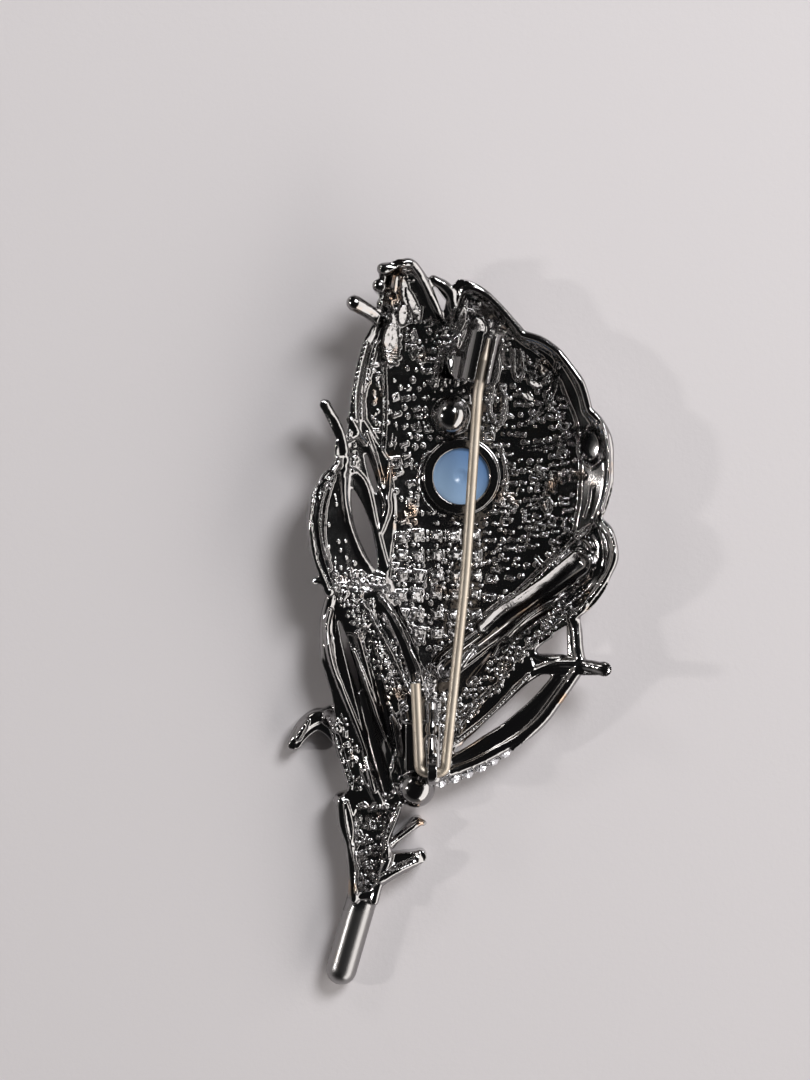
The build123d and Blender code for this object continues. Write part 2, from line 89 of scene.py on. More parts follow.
EYE_PIXEL = (461.5, 476)
eye = place(*EYE_PIXEL)
print("the eye is at", [round(v / MM, 2) for v in eye], "mm")

# %% [markdown]
# ## Camera, light and paper
# The brooch was photographed from straight above, so the camera looks down at it. The
# round bosses mirror the room: a broad window at the right with bright sky beyond it,
# small lamps at the left and nothing bright overhead. The lights copy that, so the metal
# stays nearly black between crisp highlights.

# %% Camera
CAMERA_HEIGHT = 0.30
RIM_LEVEL = 0.004
SENSOR_LONG_SIDE = 36.0
camera = new_object("camera", bpy.data.cameras.new("camera"))
camera.location = (*place(PHOTO_WIDE / 2, PHOTO_TALL / 2), CAMERA_HEIGHT + RIM_LEVEL)
camera.data.sensor_width = SENSOR_LONG_SIDE
camera.data.lens = SENSOR_LONG_SIDE * CAMERA_HEIGHT / (PHOTO_TALL * PIXEL)
camera.data.clip_start, camera.data.clip_end = 0.01, 10
bpy.context.scene.camera = camera
bpy.context.scene.view_settings.view_transform = "Standard"
print("lens", round(camera.data.lens, 1), "mm")

# %% Lights


def soft_light(name, spot, wide, tall, radiance, tint):
    """A rectangular light that faces the brooch, as bright as a pane of that radiance."""
    light = bpy.data.lights.new(name, "AREA")
    light.shape, light.size, light.size_y, light.color = "RECTANGLE", wide, tall, tint
    light.energy = radiance * pi * wide * tall
    item = new_object(name, light)
    item.location = spot
    item.rotation_euler = (-Vector(spot)).to_track_quat("-Z", "Y").to_euler()
    print(name, "gives", round(light.energy, 3), "W")


soft_light("window_light", (0.51, -0.19, 0.25), 1.35, 0.40, 2.8, (1.0, 0.975, 0.94))
soft_light("sky_light", (0.24, 0.29, 0.42), 0.20, 0.20, 18.0, (0.97, 0.985, 1.0))
soft_light("lamp_light", (-0.42, 0.01, 0.28), 0.03, 0.03, 150.0, (1.0, 0.98, 0.95))
soft_light("far_lamp_light", (-0.30, 0.37, 0.28), 0.15, 0.08, 6.5, (1.0, 0.98, 0.95))
soft_light("wall_light", (-0.60, 0.10, 0.18), 0.90, 0.30, 0.30, (1.0, 0.97, 0.93))

# %% Helpers for shader nodes


def fill(tree, node, **inputs):
    """Give a node's sockets constants, or join them to another node's output."""
    for name, value in inputs.items():
        plug(tree, node.inputs[name.replace("_", " ")], value)


def plug(tree, socket, value):
    """Give one socket a constant, or join it to another node's output."""
    if isinstance(value, bpy.types.NodeSocket):
        tree.links.new(value, socket)
    else:
        socket.default_value = value


def add(tree, kind, settings=(), **inputs):
    """A new node of a kind, with its settings and what its sockets take."""
    node = tree.nodes.new("ShaderNode" + kind)
    for name, value in dict(settings).items():
        setattr(node, name, value)
    fill(tree, node, **inputs)
    return node


def maths(tree, operation, *inputs, kind="Math"):
    """What a Math or VectorMath node makes of its inputs, where None skips a socket."""
    node = add(tree, kind, {"operation": operation})
    for socket, value in zip(node.inputs, inputs):
        if value is not None:
            plug(tree, socket, value)
    return node.outputs["Value" if kind == "Math" or operation == "LENGTH" else "Vector"]


# %% Dim room
HORIZON, OVERHEAD, DARK_FROM = 0.30, 0.014, 0.45
world = bpy.data.worlds.new("room")
world.use_nodes = True
sky = world.node_tree
split = add(sky, "SeparateXYZ", Vector=add(sky, "TexCoord").outputs["Generated"])
ramp = add(sky, "ValToRGB", Fac=split.outputs["Z"])
level_end, upper_end = ramp.color_ramp.elements
level_end.color = (HORIZON, HORIZON * 0.97, HORIZON * 0.95, 1)
upper_end.color = (OVERHEAD, OVERHEAD, OVERHEAD * 1.05, 1)
level_end.position, upper_end.position = 0.0, DARK_FROM
fill(sky, sky.nodes["Background"], Color=ramp.outputs["Color"])
bpy.context.scene.world = world
print("the room fades from", HORIZON, "at the horizon to", OVERHEAD, "overhead")

# %% Paper
PAPER_HALF = 0.6
paper_mesh = bpy.data.meshes.new("paper")
shape = bmesh.new()
bmesh.ops.create_grid(shape, x_segments=1, y_segments=1, size=PAPER_HALF)
shape.to_mesh(paper_mesh)
shape.free()
paper = new_object("paper", paper_mesh)
print("the paper is", 2 * PAPER_HALF, "m square")

# %% [markdown]
# ## Finishes
# Each metal is a Principled shader. What varies over the surface comes from small node
# groups, so that one grain or one tarnish is written once.

# %% Helpers for materials


def new_group(name, inputs, output, kind):
    """An empty node group with named inputs and one named output."""
    group = bpy.data.node_groups.new(name, "ShaderNodeTree")
    for title, value in inputs.items():
        flavour = "Vector" if isinstance(value, tuple) else "Float"
        socket = group.interface.new_socket(
            title, in_out="INPUT", socket_type="NodeSocket" + flavour
        )
        socket.default_value = value
    group.interface.new_socket(output, in_out="OUTPUT", socket_type="NodeSocket" + kind)
    print("node group", name, "takes", list(inputs), "and gives", output)
    return group, group.nodes.new("NodeGroupInput").outputs, group.nodes.new("NodeGroupOutput")


def use_group(tree, group, **inputs):
    """What a node group placed in a material gives."""
    return add(tree, "Group", {"node_tree": group}, **inputs).outputs[0]


def new_material(name):
    """A material, its nodes, its Principled shader and its Object coordinates."""
    material = bpy.data.materials.new(name)
    material.use_nodes = True
    tree = material.node_tree
    print("material", name)
    return material, tree, tree.nodes["Principled BSDF"], add(tree, "TexCoord").outputs["Object"]


# %% Paper finish
paper_finish, tree, shader, where = new_material("pale_paper")
fibres = add(tree, "TexNoise", Vector=where, Scale=1500.0, Detail=4.0, Roughness=0.7)
paper_bump = add(tree, "Bump", Strength=0.22, Distance=0.0001, Height=fibres.outputs["Fac"])
fill(tree, shader, Base_Color=(0.65, 0.616, 0.626, 1), Roughness=0.9, Specular_IOR_Level=0.2)
fill(tree, shader, Normal=paper_bump.outputs["Normal"])
paper_mesh.materials.append(paper_finish)

# %% [markdown]
# ## Cast grain and tarnish
# Black plating follows every pit of the casting under it, so it is glossy and pitted at
# once. The grain group gives a height: tiny pebbles where the crust mask is on, and a
# faint orange peel elsewhere. The flakes group tilts each little cell of the crust its own
# way, so that some cells flash and others stay black. The tarnish group gives a mask for
# the copper that shows through the plating in a few places.

# %% Grain group
PEEL_SHARE = 0.22
grain, given, out = new_group(
    "cast_grain", {"Vector": (0, 0, 0), "Crust": 0.0}, "Height", "Float"
)
pebbles = add(
    grain, "TexVoronoi", {"feature": "SMOOTH_F1"},
    Vector=given["Vector"], Scale=3600.0, Smoothness=0.35,
)
pits = add(grain, "TexNoise", Vector=given["Vector"], Scale=2400.0, Detail=4.0, Roughness=0.6)
peel = add(grain, "TexNoise", Vector=given["Vector"], Scale=520.0, Detail=2.0)
rough_height = maths(grain, "SUBTRACT", pits.outputs["Fac"], pebbles.outputs["Distance"])
crusted = maths(grain, "MULTIPLY", rough_height, given["Crust"])
fill(grain, out, Height=maths(grain, "MULTIPLY_ADD", peel.outputs["Fac"], PEEL_SHARE, crusted))

# %% Tarnish group
tarnish, given, out = new_group(
    "tarnish", {"Vector": (0, 0, 0), "Amount": 0.5, "Spread": 0.0}, "Mask", "Float"
)
clouds = add(tarnish, "TexNoise", Vector=given["Vector"], Scale=240.0, Detail=5.0, Roughness=0.65)
spread = maths(tarnish, "ADD", clouds.outputs["Fac"], given["Spread"])
edge = add(tarnish, "MapRange", Value=spread, From_Min=0.60, From_Max=0.74)
fill(tarnish, out, Mask=maths(tarnish, "MULTIPLY", edge.outputs["Result"], given["Amount"]))

# %% Flakes group
MIDDLE_GREY = (0.5, 0.5, 0.5)
flakes, given, out = new_group(
    "flakes", {"Vector": (0, 0, 0), "Normal": (0, 0, 1), "Amount": 0.5}, "Normal", "Vector"
)
cells = add(flakes, "TexVoronoi", Vector=given["Vector"], Scale=3300.0)
tilt = maths(flakes, "SUBTRACT", cells.outputs["Color"], MIDDLE_GREY, kind="VectorMath")
tilt = maths(flakes, "SCALE", tilt, None, None, given["Amount"], kind="VectorMath")
tilt = maths(flakes, "ADD", tilt, given["Normal"], kind="VectorMath")
fill(flakes, out, Normal=maths(flakes, "NORMALIZE", tilt, kind="VectorMath"))

# %% Gunmetal
FLAKE_TILT = 0.50
gunmetal, tree, shader, where = new_material("gunmetal")
crust, satin_share, warm_share = [
    add(tree, "Attribute", {"attribute_name": name}).outputs["Fac"]
    for name in ("crust", "satin", "warm")
]
facing = add(tree, "NewGeometry").outputs["Normal"]
tilt = maths(tree, "MULTIPLY", crust, FLAKE_TILT)
broken = use_group(tree, flakes, Vector=where, Normal=facing, Amount=tilt)
pitted = use_group(tree, grain, Vector=where, Crust=crust)
bump = add(tree, "Bump", Strength=0.5, Distance=0.00003, Height=pitted, Normal=broken)
tint = add(
    tree, "Mix", {"data_type": "RGBA"}, A=(0.29, 0.28, 0.28, 1), B=(0.40, 0.29, 0.21, 1),
    Factor=use_group(tree, tarnish, Vector=where, Amount=0.85, Spread=warm_share),
)
gloss = add(tree, "MapRange", Value=satin_share, To_Min=0.13, To_Max=0.30)
fill(tree, shader, Metallic=1.0, Base_Color=tint.outputs["Result"])
fill(tree, shader, Roughness=gloss.outputs["Result"], Normal=bump.outputs["Normal"])

# %% [markdown]
# ## The relief as a sheet of heights
# The back of the casting repeats the front in reverse, as a crust of small frames, bars
# and beads with wire-thin ridges between them. Modelling each one by hand would take
# weeks. Here they are stamped into a sheet of heights instead, three samples to the
# pixel, and the casting's surface is later raised by what the sheet says below it.

# %% The empty sheet
FINE = 3
SHEET_LEFT, SHEET_TOP, SHEET_RIGHT, SHEET_LOW = 280, 250, 630, 1000
sheet_x, sheet_y = np.meshgrid(
    np.arange(SHEET_LEFT, SHEET_RIGHT, 1 / FINE), np.arange(SHEET_TOP, SHEET_LOW, 1 / FINE)
)
relief = np.zeros_like(sheet_x)
texture = np.zeros_like(sheet_x)
print("the sheet has", relief.size, "samples")

# %% Parts of the sheet


def patch(low, high):
    """The slices of the sheet between two corners, given in pixels."""
    first = np.clip([(low[1] - SHEET_TOP) * FINE, (low[0] - SHEET_LEFT) * FINE], 0, None)
    last = [(high[1] - SHEET_TOP) * FINE + 1, (high[0] - SHEET_LEFT) * FINE + 1]
    return tuple(slice(int(a), max(int(a), int(b))) for a, b in zip(first, last))


def inside(corners):
    """Which samples of the sheet lie inside a closed outline."""
    mask = np.zeros(sheet_x.shape, bool)
    rows = np.array(corners, float)
    part = patch(rows.min(axis=0), rows.max(axis=0))
    x, y = sheet_x[part], sheet_y[part]
    for (ax, ay), (bx, by) in zip(rows, np.roll(rows, -1, axis=0)):
        if ay != by:
            crossing = ax + (y - ay) * (bx - ax) / (by - ay)
            mask[part] ^= ((ay > y) != (by > y)) & (x < crossing)
    return mask


def smooth_line(points, step=3.0):
    """Points spaced evenly along a smooth line through the given ones."""
    rows = np.array(points, float)
    padded = np.vstack([2 * rows[0] - rows[1], rows, 2 * rows[-1] - rows[-2]])
    line = [rows[0]]
    for a, b, c, d in zip(padded, padded[1:], padded[2:], padded[3:]):
        count = max(1, int(np.hypot(*(c - b)[:2]) / step))
        for t in np.arange(1, count + 1) / count:
            bend = (2 * a - 5 * b + 4 * c - d) * t**2 + (3 * b - a - 3 * c + d) * t**3
            line.append((2 * b + (c - a) * t + bend) / 2)
    return np.array(line)


# %% [markdown]
# ## Stamps
# Each stamp raises the sheet under one small shape. The higher of the old and the new
# surface stays, so shapes that cross melt into each other as they do in cast metal.

# %% Ridges and gouges


def runs(points, half):
    """Each short run of a smooth line: its patch, how far along it and beside it, its length."""
    line = smooth_line(points)
    for a, b in zip(line, line[1:]):
        part = patch(np.minimum(a, b) - half, np.maximum(a, b) + half)
        x, y, run = sheet_x[part] - a[0], sheet_y[part] - a[1], b - a
        length = max(np.hypot(*run), 1e-6)
        share = np.clip((x * run[0] + y * run[1]) / length**2, 0, 1)
        yield part, share, x - share * run[0], y - share * run[1], length


def ridge(points, half, height, bead_pitch):
    """A half-round wire along a smooth line, plain or beaded like a rope."""
    travelled = 0.0
    for part, share, right, down, length in runs(points, half):
        away = np.hypot(right, down) / half
        tall = height * np.sqrt(np.clip(1 - away**2, 0, 1))
        if bead_pitch:
            tall *= 0.7 + 0.3 * np.cos((travelled + share * length) * 2 * pi / bead_pitch)
        relief[part] = np.maximum(relief[part], np.minimum(relief[part], 0) + tall)
        travelled += length


def gouge(points, half, depth):
    """A half-round hollow along a smooth line."""
    for part, share, right, down, length in runs(points, half):
        away = np.hypot(right, down) / half
        deep = -depth * np.sqrt(np.clip(1 - away**2, 0, 1))
        relief[part] = np.where(away < 1, np.minimum(relief[part], deep), relief[part])


# %% Frames, bars and beads
SHOULDER = 1.6


def stamp(centre, turn, half, height, wall=0.0, lean=(0.0, 0.0)):
    """A flat-topped bar, or an open frame where it has a wall, leaning to one side."""
    half_long, half_wide = half
    reach = half_long + half_wide
    part = patch(np.subtract(centre, reach), np.add(centre, reach))
    x, y = sheet_x[part] - centre[0], sheet_y[part] - centre[1]
    along, across = x * cos(turn) + y * sin(turn), y * cos(turn) - x * sin(turn)
    edge = np.maximum(np.abs(along) - half_long, np.abs(across) - half_wide)
    profile = np.clip(-edge / SHOULDER, 0, 1)
    if wall:
        profile = np.minimum(profile, np.clip((edge + wall) / SHOULDER, 0, 1))
    slope = 1 + lean[0] * along / half_long + lean[1] * across / half_wide
    relief[part] = np.maximum(relief[part], height * profile * slope)


def bead(centre, radius, height):
    """A small round bump."""
    part = patch(np.subtract(centre, radius), np.add(centre, radius))
    away = np.hypot(sheet_x[part] - centre[0], sheet_y[part] - centre[1]) / radius
    ground = np.minimum(relief[part], 0)
    relief[part] = np.maximum(relief[part], ground + height * np.sqrt(np.clip(1 - away**2, 0, 1)))


# %% [markdown]
# ## The crust of the vane
# The crust copies the front's rows of tiny settings in reverse. The rows lie level below
# the crest and fan out a little to both sides. Each place takes an open frame, a bar or a
# bead, and each one leans its own way, because the lean decides which of them flash white
# and which stay black.

# %% Rows across the vane
FLOOR = [
    (390, 284), (400, 279), (410, 280), (426, 308), (442, 326), (452, 334), (462, 302),
    (476, 302), (494, 318), (514, 342), (540, 360), (558, 386), (572, 420), (577, 460),
    (576, 500), (570, 530), (556, 548), (540, 564), (522, 582), (504, 600), (494, 624),
    (478, 632), (458, 648), (440, 654), (432, 664), (430, 690), (424, 664), (404, 620),
    (394, 600), (391, 572), (395, 540), (398, 505), (392, 462), (378, 438), (368, 420),
    (366, 395), (371, 360), (379, 340), (385, 320), (388, 300),
]
ROW_PITCH, PLACE_PITCH, FAN, RIGHT_SIDE = 9.6, 10.4, 0.0022, 70
draw = np.random.default_rng(11)
floor_mask = inside(FLOOR)
texture[floor_mask] = 1.0


def holds(mask, px, py):
    """Whether a mask over the sheet is on at a pixel."""
    row, column = int((py - SHEET_TOP) * FINE), int((px - SHEET_LEFT) * FINE)
    within = 0 <= row < mask.shape[0] and 0 <= column < mask.shape[1]
    return within and mask[row, column]


FRAME_HALF, FRAME_WALL, BAR_HALF, BEAD_RADIUS = (5.4, 4.6), 2.9, (4.4, 2.0), 2.4
FRAMES_BELOW, BARS_BELOW, BEADS_BELOW = 0.14, 0.54, 0.80
ROWS_DOWN, PLACES_OUT = (-230, 300), 14
STITCH_LEFT, STITCH_RIGHT, STITCH_TOP = 394, 486, 528
laid = 0
for level in np.arange(*ROWS_DOWN, ROW_PITCH):
    shift = draw.uniform(-0.5, 0.5)
    for place_number in range(-PLACES_OUT, PLACES_OUT + 1):
        out = (place_number + shift) * PLACE_PITCH + draw.uniform(-1.5, 1.5)
        turn = FAN * out
        down = level - abs(out) * abs(out) * FAN / 2 + draw.uniform(-1.3, 1.3)
        centre = (EYE_PIXEL[0] - 4 + out, EYE_PIXEL[1] + down)
        kind, size, tilt = draw.random(), draw.uniform(0.75, 1.25), draw.uniform(-0.8, 0.8, 2)
        spin, tall = draw.uniform(-0.25, 0.25), draw.uniform(0.10, 0.40)
        towards_window = min(max(out / RIGHT_SIDE, 0), 1)
        tilt[0] -= 0.6 * towards_window
        tall += 0.08 * towards_window
        stitched = STITCH_LEFT < centre[0] < STITCH_RIGHT and centre[1] > STITCH_TOP
        if stitched or not holds(floor_mask, *centre):
            continue
        laid += 1
        if kind < FRAMES_BELOW:
            half = np.multiply(FRAME_HALF, size)
            stamp(centre, turn + spin, half, tall + 0.10, FRAME_WALL, tilt)
        elif kind < BARS_BELOW:
            stamp(centre, turn + spin, np.multiply(BAR_HALF, size), tall, lean=tilt)
        elif kind < BEADS_BELOW:
            bead(centre, BEAD_RADIUS * size, tall)
print("the crust has", laid, "stamps")

# %% Sand between the stamps
SAND_PITCH, SAND_SHARE = 5.0, 0.12
laid = 0
for px in np.arange(350, 590, SAND_PITCH):
    for py in np.arange(300, 690, SAND_PITCH):
        centre = (px + draw.uniform(-2.2, 2.2), py + draw.uniform(-2.2, 2.2))
        size, tall = draw.uniform(1.3, 2.1), draw.uniform(0.08, 0.26)
        if holds(floor_mask, *centre) and draw.random() < SAND_SHARE:
            bead(centre, size, tall)
            laid += 1
print("the crust has", laid, "grains of sand")

# %% Columns of stitches below the eye
STITCH_COLUMNS, STITCH_ROWS = [402, 418, 437, 456, 475], np.arange(537, 665, 19.5)
STITCH_PLATE, STITCH_FRAME, STITCH_WALL = (5.0, 4.6), (6.2, 5.8), 2.4
STITCH_GRAINS, GRAIN_SHARE = [(-5, 9.5), (0, 10), (5, 9), (-9.5, 3), (-9.5, -4)], 0.55
laid = 0
for column in STITCH_COLUMNS:
    for row in STITCH_ROWS:
        spot = (column + draw.uniform(-1.5, 1.5), row + draw.uniform(-1.5, 1.5))
        if holds(floor_mask, *spot):
            laid += 1
            size, tilt = draw.uniform(0.85, 1.15), draw.uniform(-0.3, 0.3, 2)
            spin, lean = draw.uniform(-0.2, 0.2), (draw.uniform(-0.9, -0.2), 0.0)
            stamp(spot, spin, np.multiply(STITCH_PLATE, size), 0.42, lean=lean)
            stamp(spot, spin, np.multiply(STITCH_FRAME, size), 0.34, STITCH_WALL, tilt)
        for across, down in STITCH_GRAINS:
            grain_spot = (spot[0] + across, spot[1] + down)
            if holds(floor_mask, *grain_spot) and draw.random() < GRAIN_SHARE:
                bead(grain_spot, draw.uniform(1.4, 2.3), draw.uniform(0.1, 0.35))
print("below the eye lie", laid, "stitches")

# %% [markdown]
# ## Ridges and strands
# Fine raised lines edge the fronds, the band and the eye. They are drawn in the photograph
# as thin white lines, so each is a row of points on one of those lines.

# %% A groove inside the band's outer end
BAND_GROOVE = [(596, 524), (604, 540), (604, 560), (592, 582), (574, 602)]
gouge(BAND_GROOVE, half=6.0, depth=0.25)

# %% Wells and cleared ground


def well(centre, half_wide, half_tall, depth):
    """A flat-bottomed oval hollow."""
    part = patch(np.subtract(centre, (half_wide, half_tall)), np.add(centre, (half_wide, half_tall)))
    x, y = sheet_x[part] - centre[0], sheet_y[part] - centre[1]
    away = np.hypot(x / half_wide, y / half_tall)
    relief[part] = np.where(away < 1, -depth * np.clip((1 - away) * 4, 0, 1), relief[part])


BALL_PIXELS, BALL_RADIUS, BALL_MARGIN, EYE_CLEAR = [(451, 415), (416, 789)], 20, 3, 42
for ball in BALL_PIXELS:
    relief[np.hypot(sheet_x - ball[0], sheet_y - ball[1]) < BALL_RADIUS + BALL_MARGIN] = 0
relief[np.hypot(sheet_x - EYE_PIXEL[0], sheet_y - EYE_PIXEL[1]) < EYE_CLEAR] = 0
well(centre=(591, 446), half_wide=10.5, half_tall=18, depth=0.55)

# %% Slope the left lobe
LOBE = [
    (316, 486), (326, 470), (340, 474), (344, 505), (348, 530), (356, 554), (366, 578), (352, 592),
    (330, 588), (318, 560), (312, 520),
]
LOBE_RAMP, LOBE_INNER, LOBE_REACH, LOBE_SPARKLE = 0.3, 346, 24, 0.4
lobe_mask = inside(LOBE)
sunk = np.clip(LOBE_INNER - sheet_x[lobe_mask], 0, LOBE_REACH) * PIXEL / MM
relief[lobe_mask] -= LOBE_RAMP * sunk
print("the lobe sinks by up to", round(float(LOBE_RAMP * sunk.max()), 2), "mm")

# %% Smooth bevels


def bevel(points, half, height, fall):
    """A smooth strip along a line, whose top falls to the right and so mirrors the window."""
    for part, share, right, down, length in runs(points, half):
        blend = np.clip((1 - np.hypot(right, down) / half) * 2.5, 0, 1)
        level = height - fall * right * PIXEL / MM
        relief[part] += blend * (level - relief[part])
        texture[part] *= 1 - blend


BEVELS = [
    # half width, height, fall to the right, points
    (3.6, 0.30, 0.25, [(396, 276), (396, 288), (391, 300), (392, 313), (395, 325)]),
    (3.4, 0.30, 0.20, [(400, 273), (408, 273)]),
    (4.6, 0.25, -0.52, [(305, 722), (301, 730), (297, 738)]),
    (5.0, 0.25, 0.45, [(382, 880), (394, 872), (407, 866), (419, 861)]),
    (4.4, 0.25, 0.45, [(384, 856), (392, 846), (402, 838), (412, 831), (419, 825)]),
    (3.0, 0.25, 0.50, [(346, 806), (348, 824), (352, 842)]),
]
for half, height, fall, points in BEVELS:
    bevel(points, half, height, fall)
print(len(BEVELS), "bevels")

# %% Clear ground for the loop at the trough's end
TROUGH_LOOP = [
    (486, 622), (462, 638), (440, 650), (430, 664), (432, 680), (444, 686), (458, 680), (472, 660),
    (488, 640),
]
LOOP_SPARKLE = 0.15
loop_mask = inside(TROUGH_LOOP)
relief[loop_mask], texture[loop_mask] = 0.0, LOOP_SPARKLE

# %% Leaves and plates near the crest
PLATES = [
    # across, down, turn in degrees, half length, half width, height, fall to the right
    (405, 294, 82, 15, 4.8, 0.55, 0.22), (413, 306, 66, 19, 4.4, 0.50, 0.22),
    (403, 316, 96, 11, 6.0, 0.60, 0.22), (391, 344, 92, 22, 9.0, 0.50, 0.26),
    (413, 336, 90, 7, 3.4, 0.45, 0.30), (413, 353, 90, 6, 3.4, 0.45, 0.34),
    (462, 320, 100, 14, 5.0, 0.60, 0.38), (457, 342, 92, 7, 3.4, 0.45, 0.40),
    (479, 326, 60, 9, 6.4, 0.60, 0.45), (545, 372, 60, 9, 4.4, 0.5, 0.75),
    (536, 384, 20, 9, 3.4, 0.5, 0.70), (549, 399, 70, 9, 3.6, 0.5, 0.80),
    (528, 396, 25, 8, 3.4, 0.45, 0.70), (548, 505, 80, 8, 5.4, 0.5, 0.80),
    (553, 486, 70, 8, 4.4, 0.5, 0.75), (540, 470, 60, 6, 3.2, 0.5, 0.75),
    (397, 734, 76, 24, 5.4, 0.65, 0.40),
]
SMOOTH_SHARE = 0.30


def plate(centre, turn, half_long, half_wide, height, fall):
    """A smooth flat plate whose top falls to the right, so that it mirrors the window."""
    reach = half_long + half_wide
    part = patch(np.subtract(centre, reach), np.add(centre, reach))
    x, y = sheet_x[part] - centre[0], sheet_y[part] - centre[1]
    along, across = x * cos(turn) + y * sin(turn), y * cos(turn) - x * sin(turn)
    edge = np.hypot(along / half_long, across / half_wide) ** 3
    level = (height - fall * x * PIXEL / MM) * np.clip((1 - edge) * 3, 0, 1)
    texture[part] = np.where(edge < 1, SMOOTH_SHARE, texture[part])
    relief[part] = np.where(edge < 1, np.maximum(relief[part] * edge, level), relief[part])


for px, py, turn, half_long, half_wide, height, fall in PLATES:
    plate((px, py), radians(turn), half_long, half_wide, height, fall)
print(len(PLATES), "plates")

# %% Lines of the vane
LINES = [
    # half width, height, bead pitch, points
    (2.4, 0.30, 5, [(367, 345), (360, 372), (356, 395), (356, 418)]),
    (2.4, 0.30, 5, [(376, 346), (369, 374), (363, 398), (362, 418)]),
    (3.4, 0.45, 6, [(443, 345), (439, 362), (434, 385)]),
    (1.8, 0.75, 0, [(384, 352), (397, 353)]),
    (1.8, 0.75, 0, [(384, 357), (397, 358)]),
    (1.8, 0.70, 0, [(384, 362), (396, 363)]),
    (2.2, 0.34, 0, [
        (492, 340), (499, 366), (493, 392), (490, 408), (495, 422), (502, 422), (506, 410), (504, 392),
    ]),
    (2.4, 0.36, 0, [(514, 350), (515, 372), (519, 379), (523, 370), (521, 352)]),
    (2.2, 0.34, 0, [(456, 310), (457, 332), (461, 337), (464, 326), (462, 310)]),
    (2.2, 0.30, 0, [(601, 422), (606, 450), (606, 480), (600, 510)]),
    (2.2, 0.34, 0, [(594, 425), (583, 434), (579, 447), (583, 460), (592, 467), (600, 460)]),
    (2.2, 0.30, 0, [(592, 488), (590, 503), (586, 516)]),
    (2.2, 0.32, 0, [(577, 534), (560, 551), (545, 566), (525, 586), (509, 601)]),
    (2.2, 0.32, 4, [(584, 530), (566, 549), (550, 566), (531, 585), (512, 604)]),
    (2.8, 0.40, 0, [(576, 583), (560, 597), (540, 606), (520, 621), (502, 640), (494, 656)]),
    (2.4, 0.34, 5, [(585, 590), (566, 606), (545, 617), (525, 632), (506, 652)]),
    (2.6, 0.42, 0, [
        (482, 628), (462, 643), (446, 655), (437, 667), (440, 678), (451, 677), (462, 664), (474, 648),
    ]),
    (2.4, 0.32, 0, [(502, 494), (510, 498), (516, 506)]),
    (2.0, 0.28, 0, [(430, 452), (421, 466), (419, 484), (425, 500), (434, 511)]),
    (2.0, 0.26, 0, [(500, 445), (506, 462), (507, 485), (500, 503)]),
    (2.4, 0.34, 0, [(367, 434), (375, 456), (380, 480)]),
    (2.6, 0.40, 4.5, [(328, 485), (323, 503), (321, 523), (323, 541), (328, 557)]),
]

# %% Lines of the fronds
FROND_LINES = [
    (3.0, 0.40, 0, [(331, 610), (327, 628), (331, 657), (340, 685), (352, 715), (363, 745), (374, 790)]),
    (2.6, 0.36, 0, [(354, 652), (362, 672), (371, 697), (378, 718), (386, 738)]),
    (2.6, 0.36, 0, [(364, 604), (374, 620), (385, 641), (398, 667), (412, 696)]),
    (2.6, 0.36, 0, [(380, 595), (396, 617), (408, 640), (421, 672)]),
    (2.4, 0.34, 4, [(327, 718), (332, 732), (340, 755), (351, 788)]),
    (2.6, 0.34, 0, [(346, 803), (352, 826), (352, 845), (357, 868), (357, 893)]),
    (2.6, 0.34, 0, [(400, 808), (394, 826), (387, 842), (388, 856)]),
    (3.0, 0.40, 6, [(392, 850), (404, 851), (418, 856)]),
    (2.6, 0.34, 0, [(393, 843), (404, 834), (416, 825)]),
    (2.4, 0.32, 4, [(440, 752), (462, 738), (487, 718), (508, 697), (528, 676)]),
    (2.4, 0.34, 4, [(536, 692), (524, 704), (511, 716), (496, 726)]),
    (2.6, 0.34, 0, [(430, 700), (436, 722), (438, 745)]),
    (2.6, 0.34, 0, [(402, 712), (401, 735), (396, 756), (390, 776)]),
]
for half, height, pitch, points in LINES + FROND_LINES:
    ridge(points, half, height, pitch)
print(len(LINES + FROND_LINES), "ridges")

# %% [markdown]
# ## Grit between the strands
# Narrow strips between the smooth strands are filled with small uneven beads. They are
# scattered on a jittered grid, so that they fill the strip without lining up.

# %% Strips of grit
STRIPS = {
    # name: share of the places filled, size of the grains, outline
    "left lobe": (0.25, 0.6, [
        (320, 484), (330, 474), (338, 482), (341, 505), (345, 530), (352, 552), (362, 572), (378, 596),
        (352, 590), (334, 584), (324, 560), (319, 520),
    ]),
    "fork": (0.3, 1.0, [(344, 430), (352, 428), (358, 450), (366, 480), (352, 470)]),
    "upper strip": (0.7, 1.0, [
        (332, 590), (352, 592), (372, 598), (384, 622), (400, 655), (412, 690), (402, 720), (388, 712),
        (374, 672), (358, 640), (344, 612),
    ]),
    "hinge strip": (0.7, 1.0, [
        (402, 690), (426, 664), (438, 690), (450, 690), (448, 740), (440, 756), (437, 700), (424, 698),
        (412, 702),
    ]),
    "hook strip": (0.6, 1.0, [(330, 716), (344, 715), (356, 745), (368, 790), (352, 792), (342, 760)]),
    "quill pit": (0.7, 1.35, [
        (357, 803), (392, 806), (386, 842), (378, 862), (372, 886), (360, 894), (354, 860), (354, 830),
    ]),
    "lower band": (0.8, 1.0, [
        (500, 655), (522, 630), (548, 612), (576, 592), (592, 596), (572, 616), (545, 640), (520, 664),
        (490, 700), (456, 732), (444, 745), (450, 706), (470, 682),
    ]),
    "lobe foot": (0.6, 1.2, [
        (330, 572), (352, 570), (378, 572), (394, 580), (402, 606), (372, 604), (338, 600),
    ]),
}
GRIT_PITCH = 5.2
